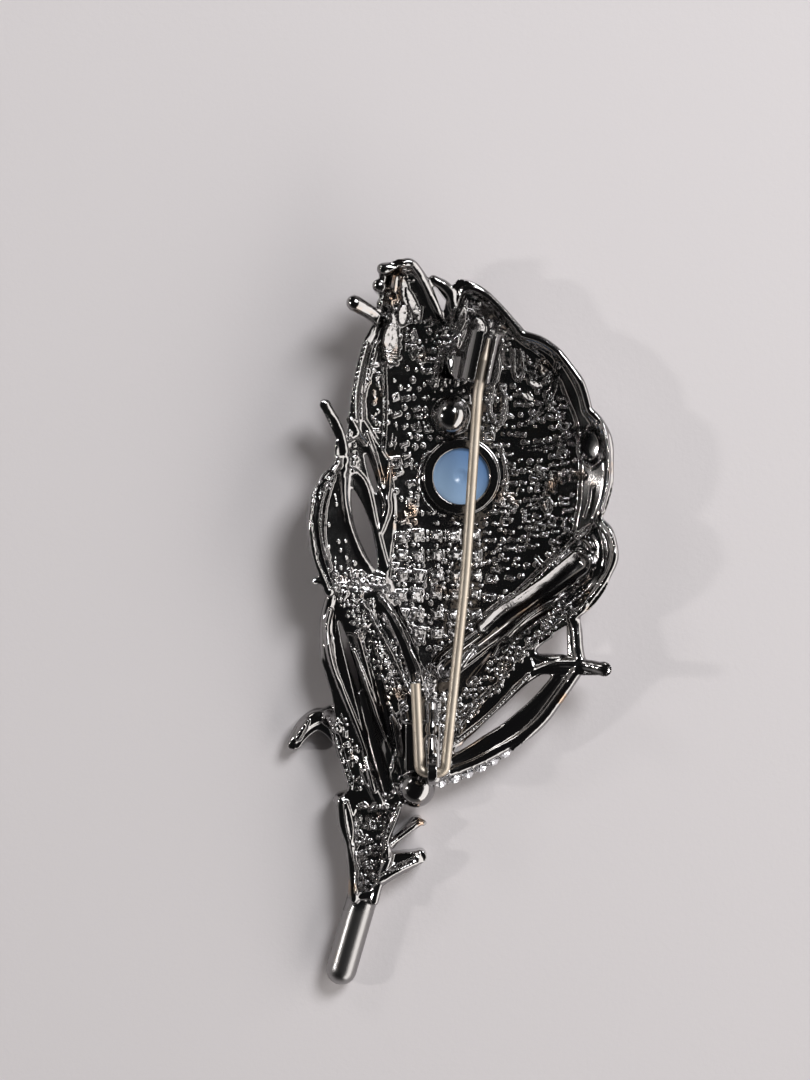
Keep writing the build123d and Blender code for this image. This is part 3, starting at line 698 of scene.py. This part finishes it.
for name, (filled, grain_size, corners) in STRIPS.items():
    mask = inside(corners)
    texture[mask] = 1.0
    rows = np.array(corners, float)
    laid = 0
    for x in np.arange(rows[:, 0].min(), rows[:, 0].max(), GRIT_PITCH):
        for y in np.arange(rows[:, 1].min(), rows[:, 1].max(), GRIT_PITCH):
            centre = (x + draw.uniform(-1.6, 1.6), y + draw.uniform(-1.6, 1.6))
            size, tall = draw.uniform(1.4, 3.0), draw.uniform(0.14, 0.34)
            if holds(mask, *centre) and draw.random() < filled:
                bead(centre, size * grain_size, tall * grain_size)
                laid += 1
    print(name, "has", laid, "grains")

# %% Sparkle on what stands up
LOW_SPARKLE, FULL_HEIGHT = 0.25, 0.2
texture *= np.clip(relief / FULL_HEIGHT, LOW_SPARKLE, 1)
texture[lobe_mask] *= LOBE_SPARKLE
print("mean sparkle", round(float(texture[floor_mask].mean()), 2))

# %% [markdown]
# ## Wax strands
# The master of such a casting is built up from wax wire, so its rims, prongs and stems are
# round. The same is done here: tapered tubes and bulbs are laid on a copy of the CAD
# casting, each resting on the surface below it, before everything becomes one skin.

# %% A copy of the casting in millimetres
casting_copy = nodes["feather_casting"].data.copy()
wax = bmesh.new()
wax.from_mesh(casting_copy)
bmesh.ops.remove_doubles(wax, verts=wax.verts, dist=1e-6)
bmesh.ops.scale(wax, vec=(1 / MM, 1 / MM, 1 / MM), verts=wax.verts)
casting_tree = BVHTree.FromBMesh(wax)
ABOVE = 20.0


def plan(px, py):
    """Millimetres in plan for a pixel of the photograph."""
    x, y = place(px, py)
    return x / MM, y / MM


def top_of_casting(px, py, reach=0.25):
    """The highest CAD surface at a pixel and just around it, or None beside the casting."""
    x, y = plan(px, py)
    hits = []
    for dx, dy in ((0, 0), (reach, 0), (-reach, 0), (0, reach), (0, -reach)):
        hit = casting_tree.ray_cast(Vector((x + dx, y + dy, ABOVE)), Vector((0, 0, -1)))[0]
        if hit:
            hits.append(hit.z)
    return max(hits) if hits else None


# %% Strands
STRANDS = {
    # name: share of the radius that sinks in, then across, down and radius in pixels
    "crest_knob": (0.3, [(382, 324, 6.4), (371, 315, 7.2), (361, 309, 8.2), (355, 306, 8.6)]),
    "small_knob": (0.3, [(392, 298, 5.0), (385, 292, 5.8), (379, 289, 6.6)]),
    "top_knob": (0.3, [(397, 275, 5.4), (390, 272, 5.8), (384, 273, 6.4)]),
    "crest_bulge": (0.3, [(386, 304, 5.2), (382, 306, 5.8)]),
    "crest_rim": (0.4, [
        (390, 338, 3.0), (388, 322, 3.6), (387, 309, 3.6), (390, 297, 3.8), (392, 284, 4.0),
        (394, 273, 4.2), (402, 268, 4.6), (411, 267, 4.6), (421, 279, 4.4), (430, 297, 4.2),
        (438, 313, 4.0), (441, 328, 3.4),
    ]),
    "spur": (0.5, [
        (453, 328, 5.4), (453, 308, 5.6), (451, 296, 6.2), (444, 288, 5.8), (437, 284, 5.2),
        (433, 281, 4.2),
    ]),
    "shoulder_rim": (0.5, [
        (452, 320, 3.6), (459, 300, 3.8), (466, 290, 4.2), (480, 293, 4.4), (494, 304, 4.2),
        (509, 320, 4.2), (522, 335, 4.2),
    ]),
    "second_rim": (0.5, [
        (522, 335, 4.0), (540, 341, 4.2), (556, 352, 4.2), (568, 367, 4.2), (580, 385, 4.2),
        (587, 408, 4.0),
    ]),
    "third_rim": (0.5, [
        (588, 411, 4.0), (598, 422, 4.4), (606, 440, 4.6), (608, 462, 4.6), (606, 488, 4.6),
        (600, 507, 4.2), (597, 520, 4.0),
    ]),
    "fourth_rim": (0.5, [
        (598, 520, 4.0), (608, 533, 4.6), (612, 553, 4.8), (607, 571, 4.8), (597, 588, 4.6),
        (583, 607, 4.4), (571, 619, 4.2),
    ]),
    "strut": (0.7, [(573, 616, 6.0), (576, 632, 6.2), (577, 648, 6.0), (580, 662, 6.0)]),
    "side_prong": (0.8, [
        (603, 668, 6.8), (590, 665, 6.0), (573, 663, 5.6), (556, 664, 5.4), (536, 672, 5.2),
        (516, 688, 4.8), (498, 706, 4.6), (478, 724, 4.6), (458, 742, 4.4),
    ]),
    "gap_edge": (0.7, [
        (550, 636, 3.0), (540, 642, 3.6), (533, 650, 4.0), (538, 657, 4.0), (550, 659, 3.6),
        (562, 658, 3.2),
    ]),
    "loop_outer": (0.7, [
        (578, 668, 6.0), (568, 683, 6.4), (554, 703, 6.6), (538, 723, 6.6), (520, 738, 6.4),
        (499, 750, 6.2), (476, 762, 6.0), (452, 771, 5.6), (436, 777, 5.0),
    ]),
    "loop_inner": (0.7, [
        (556, 676, 4.4), (546, 689, 4.4), (529, 707, 4.4), (509, 724, 4.4), (482, 742, 4.2),
        (456, 757, 4.0), (440, 766, 4.0),
    ]),
    "left_prong": (0.8, [
        (325, 405, 5.4), (330, 412, 4.8), (337, 424, 4.8), (342, 440, 5.2), (345, 458, 5.2),
        (343, 474, 5.2), (343, 494, 4.6), (346, 516, 4.6), (352, 536, 4.6), (360, 556, 4.6),
        (372, 572, 4.8), (384, 578, 4.6),
    ]),
    "fork": (0.7, [
        (345, 470, 4.8), (354, 472, 4.6), (363, 482, 4.4), (369, 500, 4.2), (373, 520, 4.0),
        (379, 544, 4.2), (386, 570, 4.4),
    ]),
    "fork_right": (0.7, [
        (350, 420, 4.0), (358, 434, 4.4), (368, 448, 4.2), (376, 468, 4.0), (382, 488, 4.0),
        (387, 505, 4.2), (383, 522, 4.2), (379, 532, 4.0),
    ]),
    "lobe_rim": (0.6, [
        (338, 462, 4.4), (331, 473, 5.4), (323, 484, 6.2), (317, 501, 6.4), (314, 522, 6.4),
        (317, 550, 6.2), (324, 574, 5.8), (330, 592, 5.4),
    ]),
    "nub": (0.9, [(324, 582, 3.6), (317, 580, 3.8)]),
    "outer_strand": (0.4, [
        (331, 596, 5.6), (328, 614, 7.4), (327, 636, 8.0), (330, 660, 8.2), (338, 690, 8.2),
        (349, 722, 8.0), (361, 756, 7.6), (373, 788, 7.0), (380, 804, 6.0),
    ]),
    "hook": (0.6, [
        (338, 728, 7.0), (329, 719, 8.5), (318, 718, 9.4), (307, 724, 8.8), (298, 734, 7.4),
        (293, 743, 5.6), (293, 748, 3.6),
    ]),
    "hinge_barrel": (0.5, [(431.5, 704, 6.2), (431.5, 729, 6.2)]),
    "hinge_knuckle": (0.5, [(431, 738, 4.8), (431, 750, 5.2)]),
    "catch_rib": (0.5, [(448, 350, 3.8), (449, 362, 4.4), (449, 373, 3.8)]),
    "quill_knob": (0.9, [(352, 812, 7.4), (341, 801, 7.4)]),
    "quill_left": (0.5, [
        (341, 801, 5.0), (342, 822, 4.6), (349, 845, 4.6), (352, 872, 4.6), (354, 900, 5.0),
    ]),
    "quill_right": (0.5, [
        (398, 806, 4.6), (393, 822, 4.6), (386, 842, 4.6), (388, 858, 4.8), (380, 880, 4.8),
        (374, 902, 5.0),
    ]),
    "upper_twig": (0.9, [(386, 850, 4.4), (396, 841, 4.2), (407, 832, 4.2), (418, 824, 4.4)]),
    "lower_twig": (0.9, [(384, 872, 6.4), (397, 864, 6.8), (410, 859, 6.2), (421, 858, 5.4)]),
    "twig_web": (0.6, [
        (374, 890, 4.0), (382, 882, 5.0), (394, 874, 5.2), (407, 868, 4.6), (417, 863, 3.8),
    ]),
    "twig_bead": (0.5, [(421, 823, 3.6), (424, 824, 3.2)]),
    "band_lip": (0.6, [
        (596, 523, 3.6), (582, 536, 3.8), (564, 553, 3.8), (548, 568, 3.8), (530, 584, 3.8),
        (512, 600, 3.6), (494, 616, 3.4), (478, 632, 3.2),
    ]),
    "band_foot": (0.6, [
        (590, 575, 3.4), (574, 588, 4.0), (556, 600, 4.2), (538, 611, 4.2), (519, 625, 4.0),
        (502, 643, 3.8), (488, 662, 3.4), (470, 684, 3.0),
    ]),
    "trough_end": (0.5, [
        (476, 634, 3.0), (458, 646, 3.6), (444, 656, 3.8), (438, 668, 3.8), (443, 677, 3.8),
        (453, 676, 3.6), (464, 662, 3.2), (474, 650, 3.0),
    ]),
    "frond_left": (0.5, [
        (352, 646, 3.2), (357, 662, 3.6), (368, 692, 3.8), (378, 720, 3.8), (388, 748, 3.6),
        (396, 778, 3.4),
    ]),
    "middle_left": (0.5, [
        (363, 602, 3.2), (373, 621, 3.4), (386, 644, 3.6), (399, 670, 3.6), (411, 696, 3.4),
    ]),
    "middle_right": (0.5, [
        (379, 594, 3.2), (392, 612, 3.6), (405, 634, 3.8), (416, 660, 3.8), (423, 690, 3.6),
    ]),
}
ROUNDNESS, SOFTEN, LIFT, BULB = 4, 7, 0.05, 0.99


def lay_strand(name, sink, rows):
    """Lay one tapered wax tube with closed round ends on the casting."""
    line = smooth_line(rows, step=2.0)
    heights, last = [], None
    for px, py, radius in line:
        found = top_of_casting(px, py)
        last = found if found is not None else last
        heights.append(last)
    first = next(height for height in heights if height is not None)
    heights = np.array([first if height is None else height for height in heights])
    padded = np.pad(heights, SOFTEN // 2, mode="edge")
    soft = np.convolve(padded, np.ones(SOFTEN) / SOFTEN, mode="valid")
    curve = bpy.data.curves.new(name, "CURVE")
    curve.dimensions, curve.bevel_depth, curve.bevel_resolution = "3D", 1.0, ROUNDNESS
    curve.use_fill_caps = True
    spline = curve.splines.new("POLY")
    spline.points.add(len(line) - 1)
    for point, (px, py, radius), height in zip(spline.points, line, soft):
        thick = radius * PIXEL / MM
        level = max(height - thick * sink, thick + LIFT)
        point.co, point.radius = (*plan(px, py), level, 1), thick
    item = new_object(name, curve)
    tube = bpy.data.meshes.new_from_object(item.evaluated_get(bpy.context.evaluated_depsgraph_get()))
    wax.from_mesh(tube)
    for point in (spline.points[0], spline.points[-1]):
        there = Matrix.Translation(point.co.xyz)
        bmesh.ops.create_icosphere(wax, subdivisions=2, radius=point.radius * BULB, matrix=there)
    bpy.data.objects.remove(item)
    bpy.data.meshes.remove(tube)


for name, (sink, rows) in STRANDS.items():
    lay_strand(name, sink, rows)

# %% Fill the quill's pit part of the way
PIT = [(353, 804), (396, 808), (387, 842), (384, 866), (374, 896), (356, 896), (352, 850)]
PIT_LOW, PIT_LEVEL = 0.5, 2.1
corners = [wax.verts.new((*plan(*spot), PIT_LOW)) for spot in PIT]
pit_floor = bmesh.ops.contextual_create(wax, geom=corners)["faces"]
raised = bmesh.ops.extrude_face_region(wax, geom=pit_floor)["geom"]
raised = [item for item in raised if isinstance(item, bmesh.types.BMVert)]
bmesh.ops.translate(wax, vec=(0, 0, PIT_LEVEL - PIT_LOW), verts=raised)
bmesh.ops.reverse_faces(wax, faces=pit_floor)
wax.to_mesh(casting_copy)
wax.free()
print(len(STRANDS), "strands laid,", len(casting_copy.polygons), "faces in the wax")

# %% [markdown]
# ## A fine skin for the casting
# Wax and casting overlap and have long, thin triangles. A voxel remesh turns them into one
# closed skin of small even squares, which the next steps settle, smooth and raise.

# %% Remesh the wax
VOXEL = 0.11
casting_copy.materials.clear()
work = new_object("work", casting_copy)
remesh = work.modifiers.new("even squares", "REMESH")
remesh.mode, remesh.voxel_size, remesh.use_smooth_shade = "VOXEL", VOXEL, True
skin = bpy.data.meshes.new_from_object(work.evaluated_get(bpy.context.evaluated_depsgraph_get()))
print("the skin has", len(skin.polygons), "squares")

# %% Read places and normals


def read(collection, field, size, kind=np.float32):
    """One field of a mesh's elements as an array."""
    values = np.empty(len(collection) * size, kind)
    collection.foreach_get(field, values)
    return values.reshape(-1, size) if size > 1 else values


points = read(skin.vertices, "co", 3).astype(float)
normals = read(skin.vertex_normals, "vector", 3).astype(float)
pixel_x = (points[:, 0] - cad_box[0].x / MM) * MM / PIXEL + LEFT_PIXEL
pixel_y = LOW_PIXEL - (points[:, 1] - cad_box[0].y / MM) * MM / PIXEL


def sample(sheet, px, py):
    """The sheet's value at places between its samples."""
    column = np.clip((px - SHEET_LEFT) * FINE, 0, sheet.shape[1] - 2)
    row = np.clip((py - SHEET_TOP) * FINE, 0, sheet.shape[0] - 2)
    i, j = row.astype(int), column.astype(int)
    v, u = row - i, column - j
    top = sheet[i, j] * (1 - u) + sheet[i, j + 1] * u
    low = sheet[i + 1, j] * (1 - u) + sheet[i + 1, j + 1] * u
    return top * (1 - v) + low * v


# %% [markdown]
# ## Smooth places and soft joints
# A casting's machined places stay crisp: the bezel, the bosses, the catch, the lug and the
# stem. A mask called free is 0 there and 1 elsewhere, and everything that moves the skin
# is multiplied by it. The hollow is set on the same dish as in the CAD model, so that the
# strands laid over its edge leave no steps, and the band's trough gets one smooth facet.

# %% Places that stay true


def fade(value, low, high):
    """Zero up to low, one from high on, and a straight rise between them."""
    return np.clip((value - low) / (high - low), 0, 1)


BEZEL_FROM, BEZEL_TO, BALL_BLEND, STEM_PIXEL, STEM_BLEND = 39, 41, 1.5, 908, 4
CATCH_PIXEL, CATCH_RADIUS, CATCH_LEVEL = (480, 359), 34, 4.6
LUG_PLACE, LUG_REACH, LUG_LEVEL = (-1.77, -12), (1.0, 6), 4.75


def pixels_from(px, py):
    """How many pixels in plan each point of the skin is from a place."""
    return np.hypot(pixel_x - px, pixel_y - py)


free = fade(pixels_from(*EYE_PIXEL), BEZEL_FROM, BEZEL_TO)
for ball in BALL_PIXELS:
    free *= fade(pixels_from(*ball), BALL_RADIUS - BALL_BLEND, BALL_RADIUS)
free[(pixels_from(*CATCH_PIXEL) < CATCH_RADIUS) & (points[:, 2] > CATCH_LEVEL)] = 0.0
lug_near = (np.abs(points[:, :2] - LUG_PLACE) < LUG_REACH).all(axis=1)
free[lug_near & (points[:, 2] > LUG_LEVEL)] = 0.0
free *= fade(STEM_PIXEL - pixel_y, -STEM_BLEND, STEM_BLEND)
print("free share", round(float(free.mean()), 2))

# %% Settle the hollow
FLOOR_ACROSS, FLOOR_TO_CREST, FLOOR_TO_QUILL, FLOOR_WALL, FLOOR_RISE = 38.0, 44.0, 240.0, 1.2, 0.3
FLOOR_SPREAD, FACES_UP, FLOOR_NEAR, FLOOR_MIDDLE = 1.03, 0.3, 0.3, 0.25
hollow = np.array(FLOOR, float)
hollow = inside((hollow - hollow.mean(axis=0)) * FLOOR_SPREAD + hollow.mean(axis=0)).astype(float)
run = (EYE_PIXEL[1] - pixel_y) * PIXEL / MM
side = (pixel_x - EYE_PIXEL[0]) * PIXEL / MM
bend = np.where(run > 0, FLOOR_TO_CREST, FLOOR_TO_QUILL)
ring = FLOOR_ACROSS - FLOOR_WALL - (bend - np.sqrt(bend**2 - run**2))
floor_level = FLOOR_ACROSS + FLOOR_RISE - np.sqrt(ring**2 - side**2)
near_floor = np.abs(points[:, 2] - floor_level - FLOOR_MIDDLE) < FLOOR_NEAR
low_enough = (normals[:, 2] > FACES_UP) | near_floor
low_enough &= points[:, 2] > floor_level - FLOOR_NEAR
settled = sample(hollow, pixel_x, pixel_y) * free * low_enough
points[:, 2] += settled * (floor_level - points[:, 2])
print("settled", int((settled > 0.5).sum()), "points of the floor")

# %% A smooth facet in the band's trough
TROUGH = [(574, 558), (560, 569), (546, 581), (531, 592), (515, 602), (499, 613), (484, 628)]
TROUGH_HALF, TROUGH_FALL, TROUGH_HIGH, TROUGH_LOW = 8.0, 0.62, 4.60, 2.75
TROUGH_BLEND, TROUGH_ABOVE, TROUGH_FACES_UP = 2.5, 1.5, 0.1
line = smooth_line(TROUGH)
gaps = np.hypot(pixel_x[:, None] - line[:, 0], pixel_y[:, None] - line[:, 1])
nearest = gaps.argmin(axis=1)
shares = nearest / (len(line) - 1)
run, rise = TROUGH[-1][0] - TROUGH[0][0], TROUGH[-1][1] - TROUGH[0][1]
outward = np.array([rise, -run]) / np.hypot(run, rise)
down_band = (pixel_x - line[nearest, 0]) * outward[0] + (pixel_y - line[nearest, 1]) * outward[1]
level = TROUGH_HIGH + (TROUGH_LOW - TROUGH_HIGH) * shares - TROUGH_FALL * down_band * PIXEL / MM
in_trough = fade(TROUGH_HALF - gaps.min(axis=1), 0, TROUGH_BLEND)
in_trough = in_trough * (points[:, 2] > TROUGH_ABOVE) * (normals[:, 2] > TROUGH_FACES_UP)
points[:, 2] += in_trough * (level - points[:, 2])
print("smoothed", int((in_trough > 0.5).sum()), "points of the trough")

# %% Melt the joints
SOFT_ROUNDS, SHRINK, SWELL = 6, 0.60, -0.62


def neighbour_sum(pairs, values):
    """For each point, the sum of the values at the far ends of its edges."""
    total = np.bincount(pairs[:, 0], weights=values[pairs[:, 1]], minlength=len(values))
    return total + np.bincount(pairs[:, 1], weights=values[pairs[:, 0]], minlength=len(values))


ends = read(skin.edges, "vertices", 2, np.int32).astype(int)
meeting = np.bincount(ends.ravel(), minlength=len(points)).astype(float)
for share in [SHRINK, SWELL] * SOFT_ROUNDS + [SHRINK] * 2:
    for axis in range(3):
        mean = neighbour_sum(ends, points[:, axis]) / meeting
        points[:, axis] += share * free * (mean - points[:, axis])
print("melted", len(ends), "edges in", 2 * SOFT_ROUNDS + 2, "rounds")

# %% Melt the step at the lobe's foot
FOOT = [(333, 564), (374, 568), (392, 580), (400, 604), (392, 616), (342, 614), (336, 596)]
FOOT_ROUNDS = 200
in_foot = sample(inside(FOOT).astype(float), pixel_x, pixel_y) * (normals[:, 2] > 0)
ends = ends[(in_foot[ends] > 0).any(axis=1)]
meeting = np.maximum(np.bincount(ends.ravel(), minlength=len(points)), 1).astype(float)
for _ in range(FOOT_ROUNDS):
    mean = neighbour_sum(ends, points[:, 2]) / meeting
    points[:, 2] += in_foot * SHRINK * (mean - points[:, 2])
skin.vertices.foreach_set("co", points.astype(np.float32).ravel())
skin.update()
normals = read(skin.vertex_normals, "vector", 3).astype(float)
print("levelled", int((in_foot > 0.5).sum()), "points of the lobe's foot")

# %% Warm patches
# Given spots where the copper tint spreads wider, so the metal turns brown or gold there.
WARM_SPOTS = [
    # across, down and radius in pixels, strength
    (396, 446, 22, 0.14), (386, 476, 16, 0.12), (378, 820, 11, 0.20), (420, 823, 6, 0.3),
    (440, 786, 6, 0.3), (352, 890, 12, 0.10), (548, 480, 18, 0.08), (562, 698, 8, 0.2),
]
warmth = np.zeros(len(points))
for px, py, radius, strength in WARM_SPOTS:
    warmth += strength * fade(radius - pixels_from(px, py), 0, radius * 0.5)
print("mean warmth", round(float(warmth.mean()), 3))

# %% Raise the relief
SWELL_PITCH, SWELL_HEIGHT, LOWEST = 0.45, 0.08, 0.01
faces_up = fade(normals[:, 2], 0.25, 0.75)
raise_by = sample(relief, pixel_x, pixel_y) * faces_up * free * (1 - in_trough)
coarse = np.array([noise.noise(Vector(p) * SWELL_PITCH) for p in points])
points += normals * (coarse * SWELL_HEIGHT * free)[:, None]
points[:, 2] = np.maximum(points[:, 2] + raise_by, LOWEST)
skin.vertices.foreach_set("co", (points * MM).astype(np.float32).ravel())
skin.update()
bpy.data.objects.remove(work)
print("raised by up to", round(float(raise_by.max()), 2), "mm")

# %% Masks for the finish
CRUST_SATIN, TROUGH_SATIN, SATIN_FROM, SATIN_TO = 0.4, 0.3, 900, 915
crust_share = sample(texture, pixel_x, pixel_y) * faces_up * free * (1 - in_trough)
satin = np.maximum(crust_share * CRUST_SATIN, in_trough * TROUGH_SATIN)
satin = np.maximum(fade(pixel_y, SATIN_FROM, SATIN_TO), satin)
for name, values in {"satin": satin, "crust": crust_share, "warm": warmth}.items():
    layer = skin.attributes.new(name, "FLOAT", "POINT")
    layer.data.foreach_set("value", values.astype(np.float32))
    print("mask", name, "has a mean of", round(float(values.mean()), 3))

# %% [markdown]
# ## Five closed pieces
# The skin has more triangles than one piece may carry. The skin has many triangles, so it is cut across
# the feather into five pieces, each closed at its cuts. The normals of the whole skin are kept on them,
# so no seam shows where two pieces meet.

# %% Cut the skin into pieces


def cut_piece(name, low, high):
    """The skin between two heights along the feather, as one closed piece."""
    piece_mesh = skin.copy()
    shape = bmesh.new()
    shape.from_mesh(piece_mesh)
    away = [f for f in shape.faces if not low <= f.calc_center_median().y / MM < high]
    bmesh.ops.delete(shape, geom=away, context="FACES")
    open_edges = [e for e in shape.edges if e.is_boundary]
    bmesh.ops.holes_fill(shape, edges=open_edges, sides=0)
    shape.to_mesh(piece_mesh)
    shape.free()
    saved = read(piece_mesh.attributes["whole_normal"].data, "vector", 3)
    piece_mesh.shade_smooth()
    piece_mesh.normals_split_custom_set_from_vertices(saved.tolist())
    piece_mesh.materials.append(gunmetal)
    piece = new_object(name, piece_mesh)
    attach(piece, "brooch")
    return piece


kept_normals = skin.attributes.new("whole_normal", "FLOAT_VECTOR", "POINT")
kept_normals.data.foreach_set("vector", read(skin.vertex_normals, "vector", 3).ravel())
CUTS = {
    # name: lowest and highest place along the feather, in mm
    "crest_casting": (22.6, 99), "vane_casting": (12.2, 22.6), "band_casting": (2.0, 12.2),
    "frond_casting": (-9.6, 2.0), "quill_casting": (-99, -9.6),
}
pieces = {name: cut_piece(name, low, high) for name, (low, high) in CUTS.items()}
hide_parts("feather_casting")
for name, piece in pieces.items():
    print(name, sum(len(f.vertices) - 2 for f in piece.data.polygons), "triangles")

# %% [markdown]
# ## Stone, pin and crystals
# The stone is milky blue glass with painted shade, its blue running darker towards the upper right, and
# it has a small moulding mark in the middle. The wire is drawn nickel silver with fine lines along it.
# The crystals are backed with silver foil, so from behind they flash like little mirrors.

# %% Blue stone
SLANT, MARK_FROM, MARK_TO = 3.4 * MM, 0.15 * MM, 0.9 * MM
blue_stone, tree, shader, where = new_material("blue_stone")
from_middle = maths(tree, "SUBTRACT", where, (eye[0], eye[1], 0), kind="VectorMath")
parted = add(tree, "SeparateXYZ", Vector=from_middle).outputs
# Painted shade: the blue runs from light at the lower left to dark at the upper right of the stone.
slant = maths(tree, "ADD", parted["X"], parted["Y"])
depth = add(tree, "MapRange", Value=slant, From_Min=-SLANT, From_Max=SLANT)
blue_with_painted_shade = add(
    tree, "Mix", {"data_type": "RGBA"}, A=(0.29, 0.42, 0.60, 1), B=(0.10, 0.19, 0.37, 1),
    Factor=depth.outputs["Result"],
)
flat = maths(tree, "MULTIPLY", from_middle, (1, 1, 0), kind="VectorMath")
reach = maths(tree, "LENGTH", flat, kind="VectorMath")
mark = add(
    tree, "MapRange", {"interpolation_type": "SMOOTHSTEP"},
    Value=reach, From_Min=MARK_FROM, From_Max=MARK_TO,
)
mark_bump = add(tree, "Bump", Strength=0.6, Distance=0.0003, Height=mark.outputs["Result"])
fill(tree, shader, Base_Color=blue_with_painted_shade.outputs["Result"], Roughness=0.22)
fill(tree, shader, Normal=mark_bump.outputs["Normal"])

# %% Pin wire
pin_steel, tree, shader, where = new_material("pin_steel")
long_lines = add(tree, "Mapping", Vector=where, Scale=(1, 0.04, 1)).outputs["Vector"]
drawn = add(tree, "TexNoise", Vector=long_lines, Scale=9000.0, Detail=2.0).outputs["Fac"]
wear = add(tree, "TexNoise", Vector=where, Scale=300.0, Detail=3.0).outputs["Fac"]
wire_tint = add(
    tree, "Mix", {"data_type": "RGBA"}, A=(0.62, 0.56, 0.49, 1), B=(0.50, 0.42, 0.33, 1),
    Factor=wear,
)
wire_gloss = add(tree, "MapRange", Value=drawn, To_Min=0.40, To_Max=0.55)
wire_bump = add(tree, "Bump", Strength=0.25, Distance=0.00002, Height=drawn)
fill(tree, shader, Metallic=1.0, Base_Color=wire_tint.outputs["Result"])
fill(tree, shader, Roughness=wire_gloss.outputs["Result"], Normal=wire_bump.outputs["Normal"])

# %% Foil-backed crystals
crystal, tree, shader, where = new_material("crystal")
facing = add(tree, "NewGeometry").outputs["Normal"]
foil = use_group(tree, flakes, Vector=where, Normal=facing, Amount=0.5)
foil_spots = add(tree, "TexNoise", Vector=where, Scale=2000.0).outputs["Fac"]
foil_gloss = add(tree, "MapRange", Value=foil_spots, To_Min=0.05, To_Max=0.25)
fill(tree, shader, Base_Color=(0.93, 0.94, 0.97, 1), Metallic=1.0)
fill(tree, shader, Roughness=foil_gloss.outputs["Result"], Normal=foil)

# %% Put the finishes on the frame
FINISHES = {"feather_casting": gunmetal, "pin_wire": pin_steel, "eye_stone": blue_stone}
for name, node in nodes.items():
    node.data.materials.clear()
    node.data.materials.append(FINISHES.get(name, crystal))
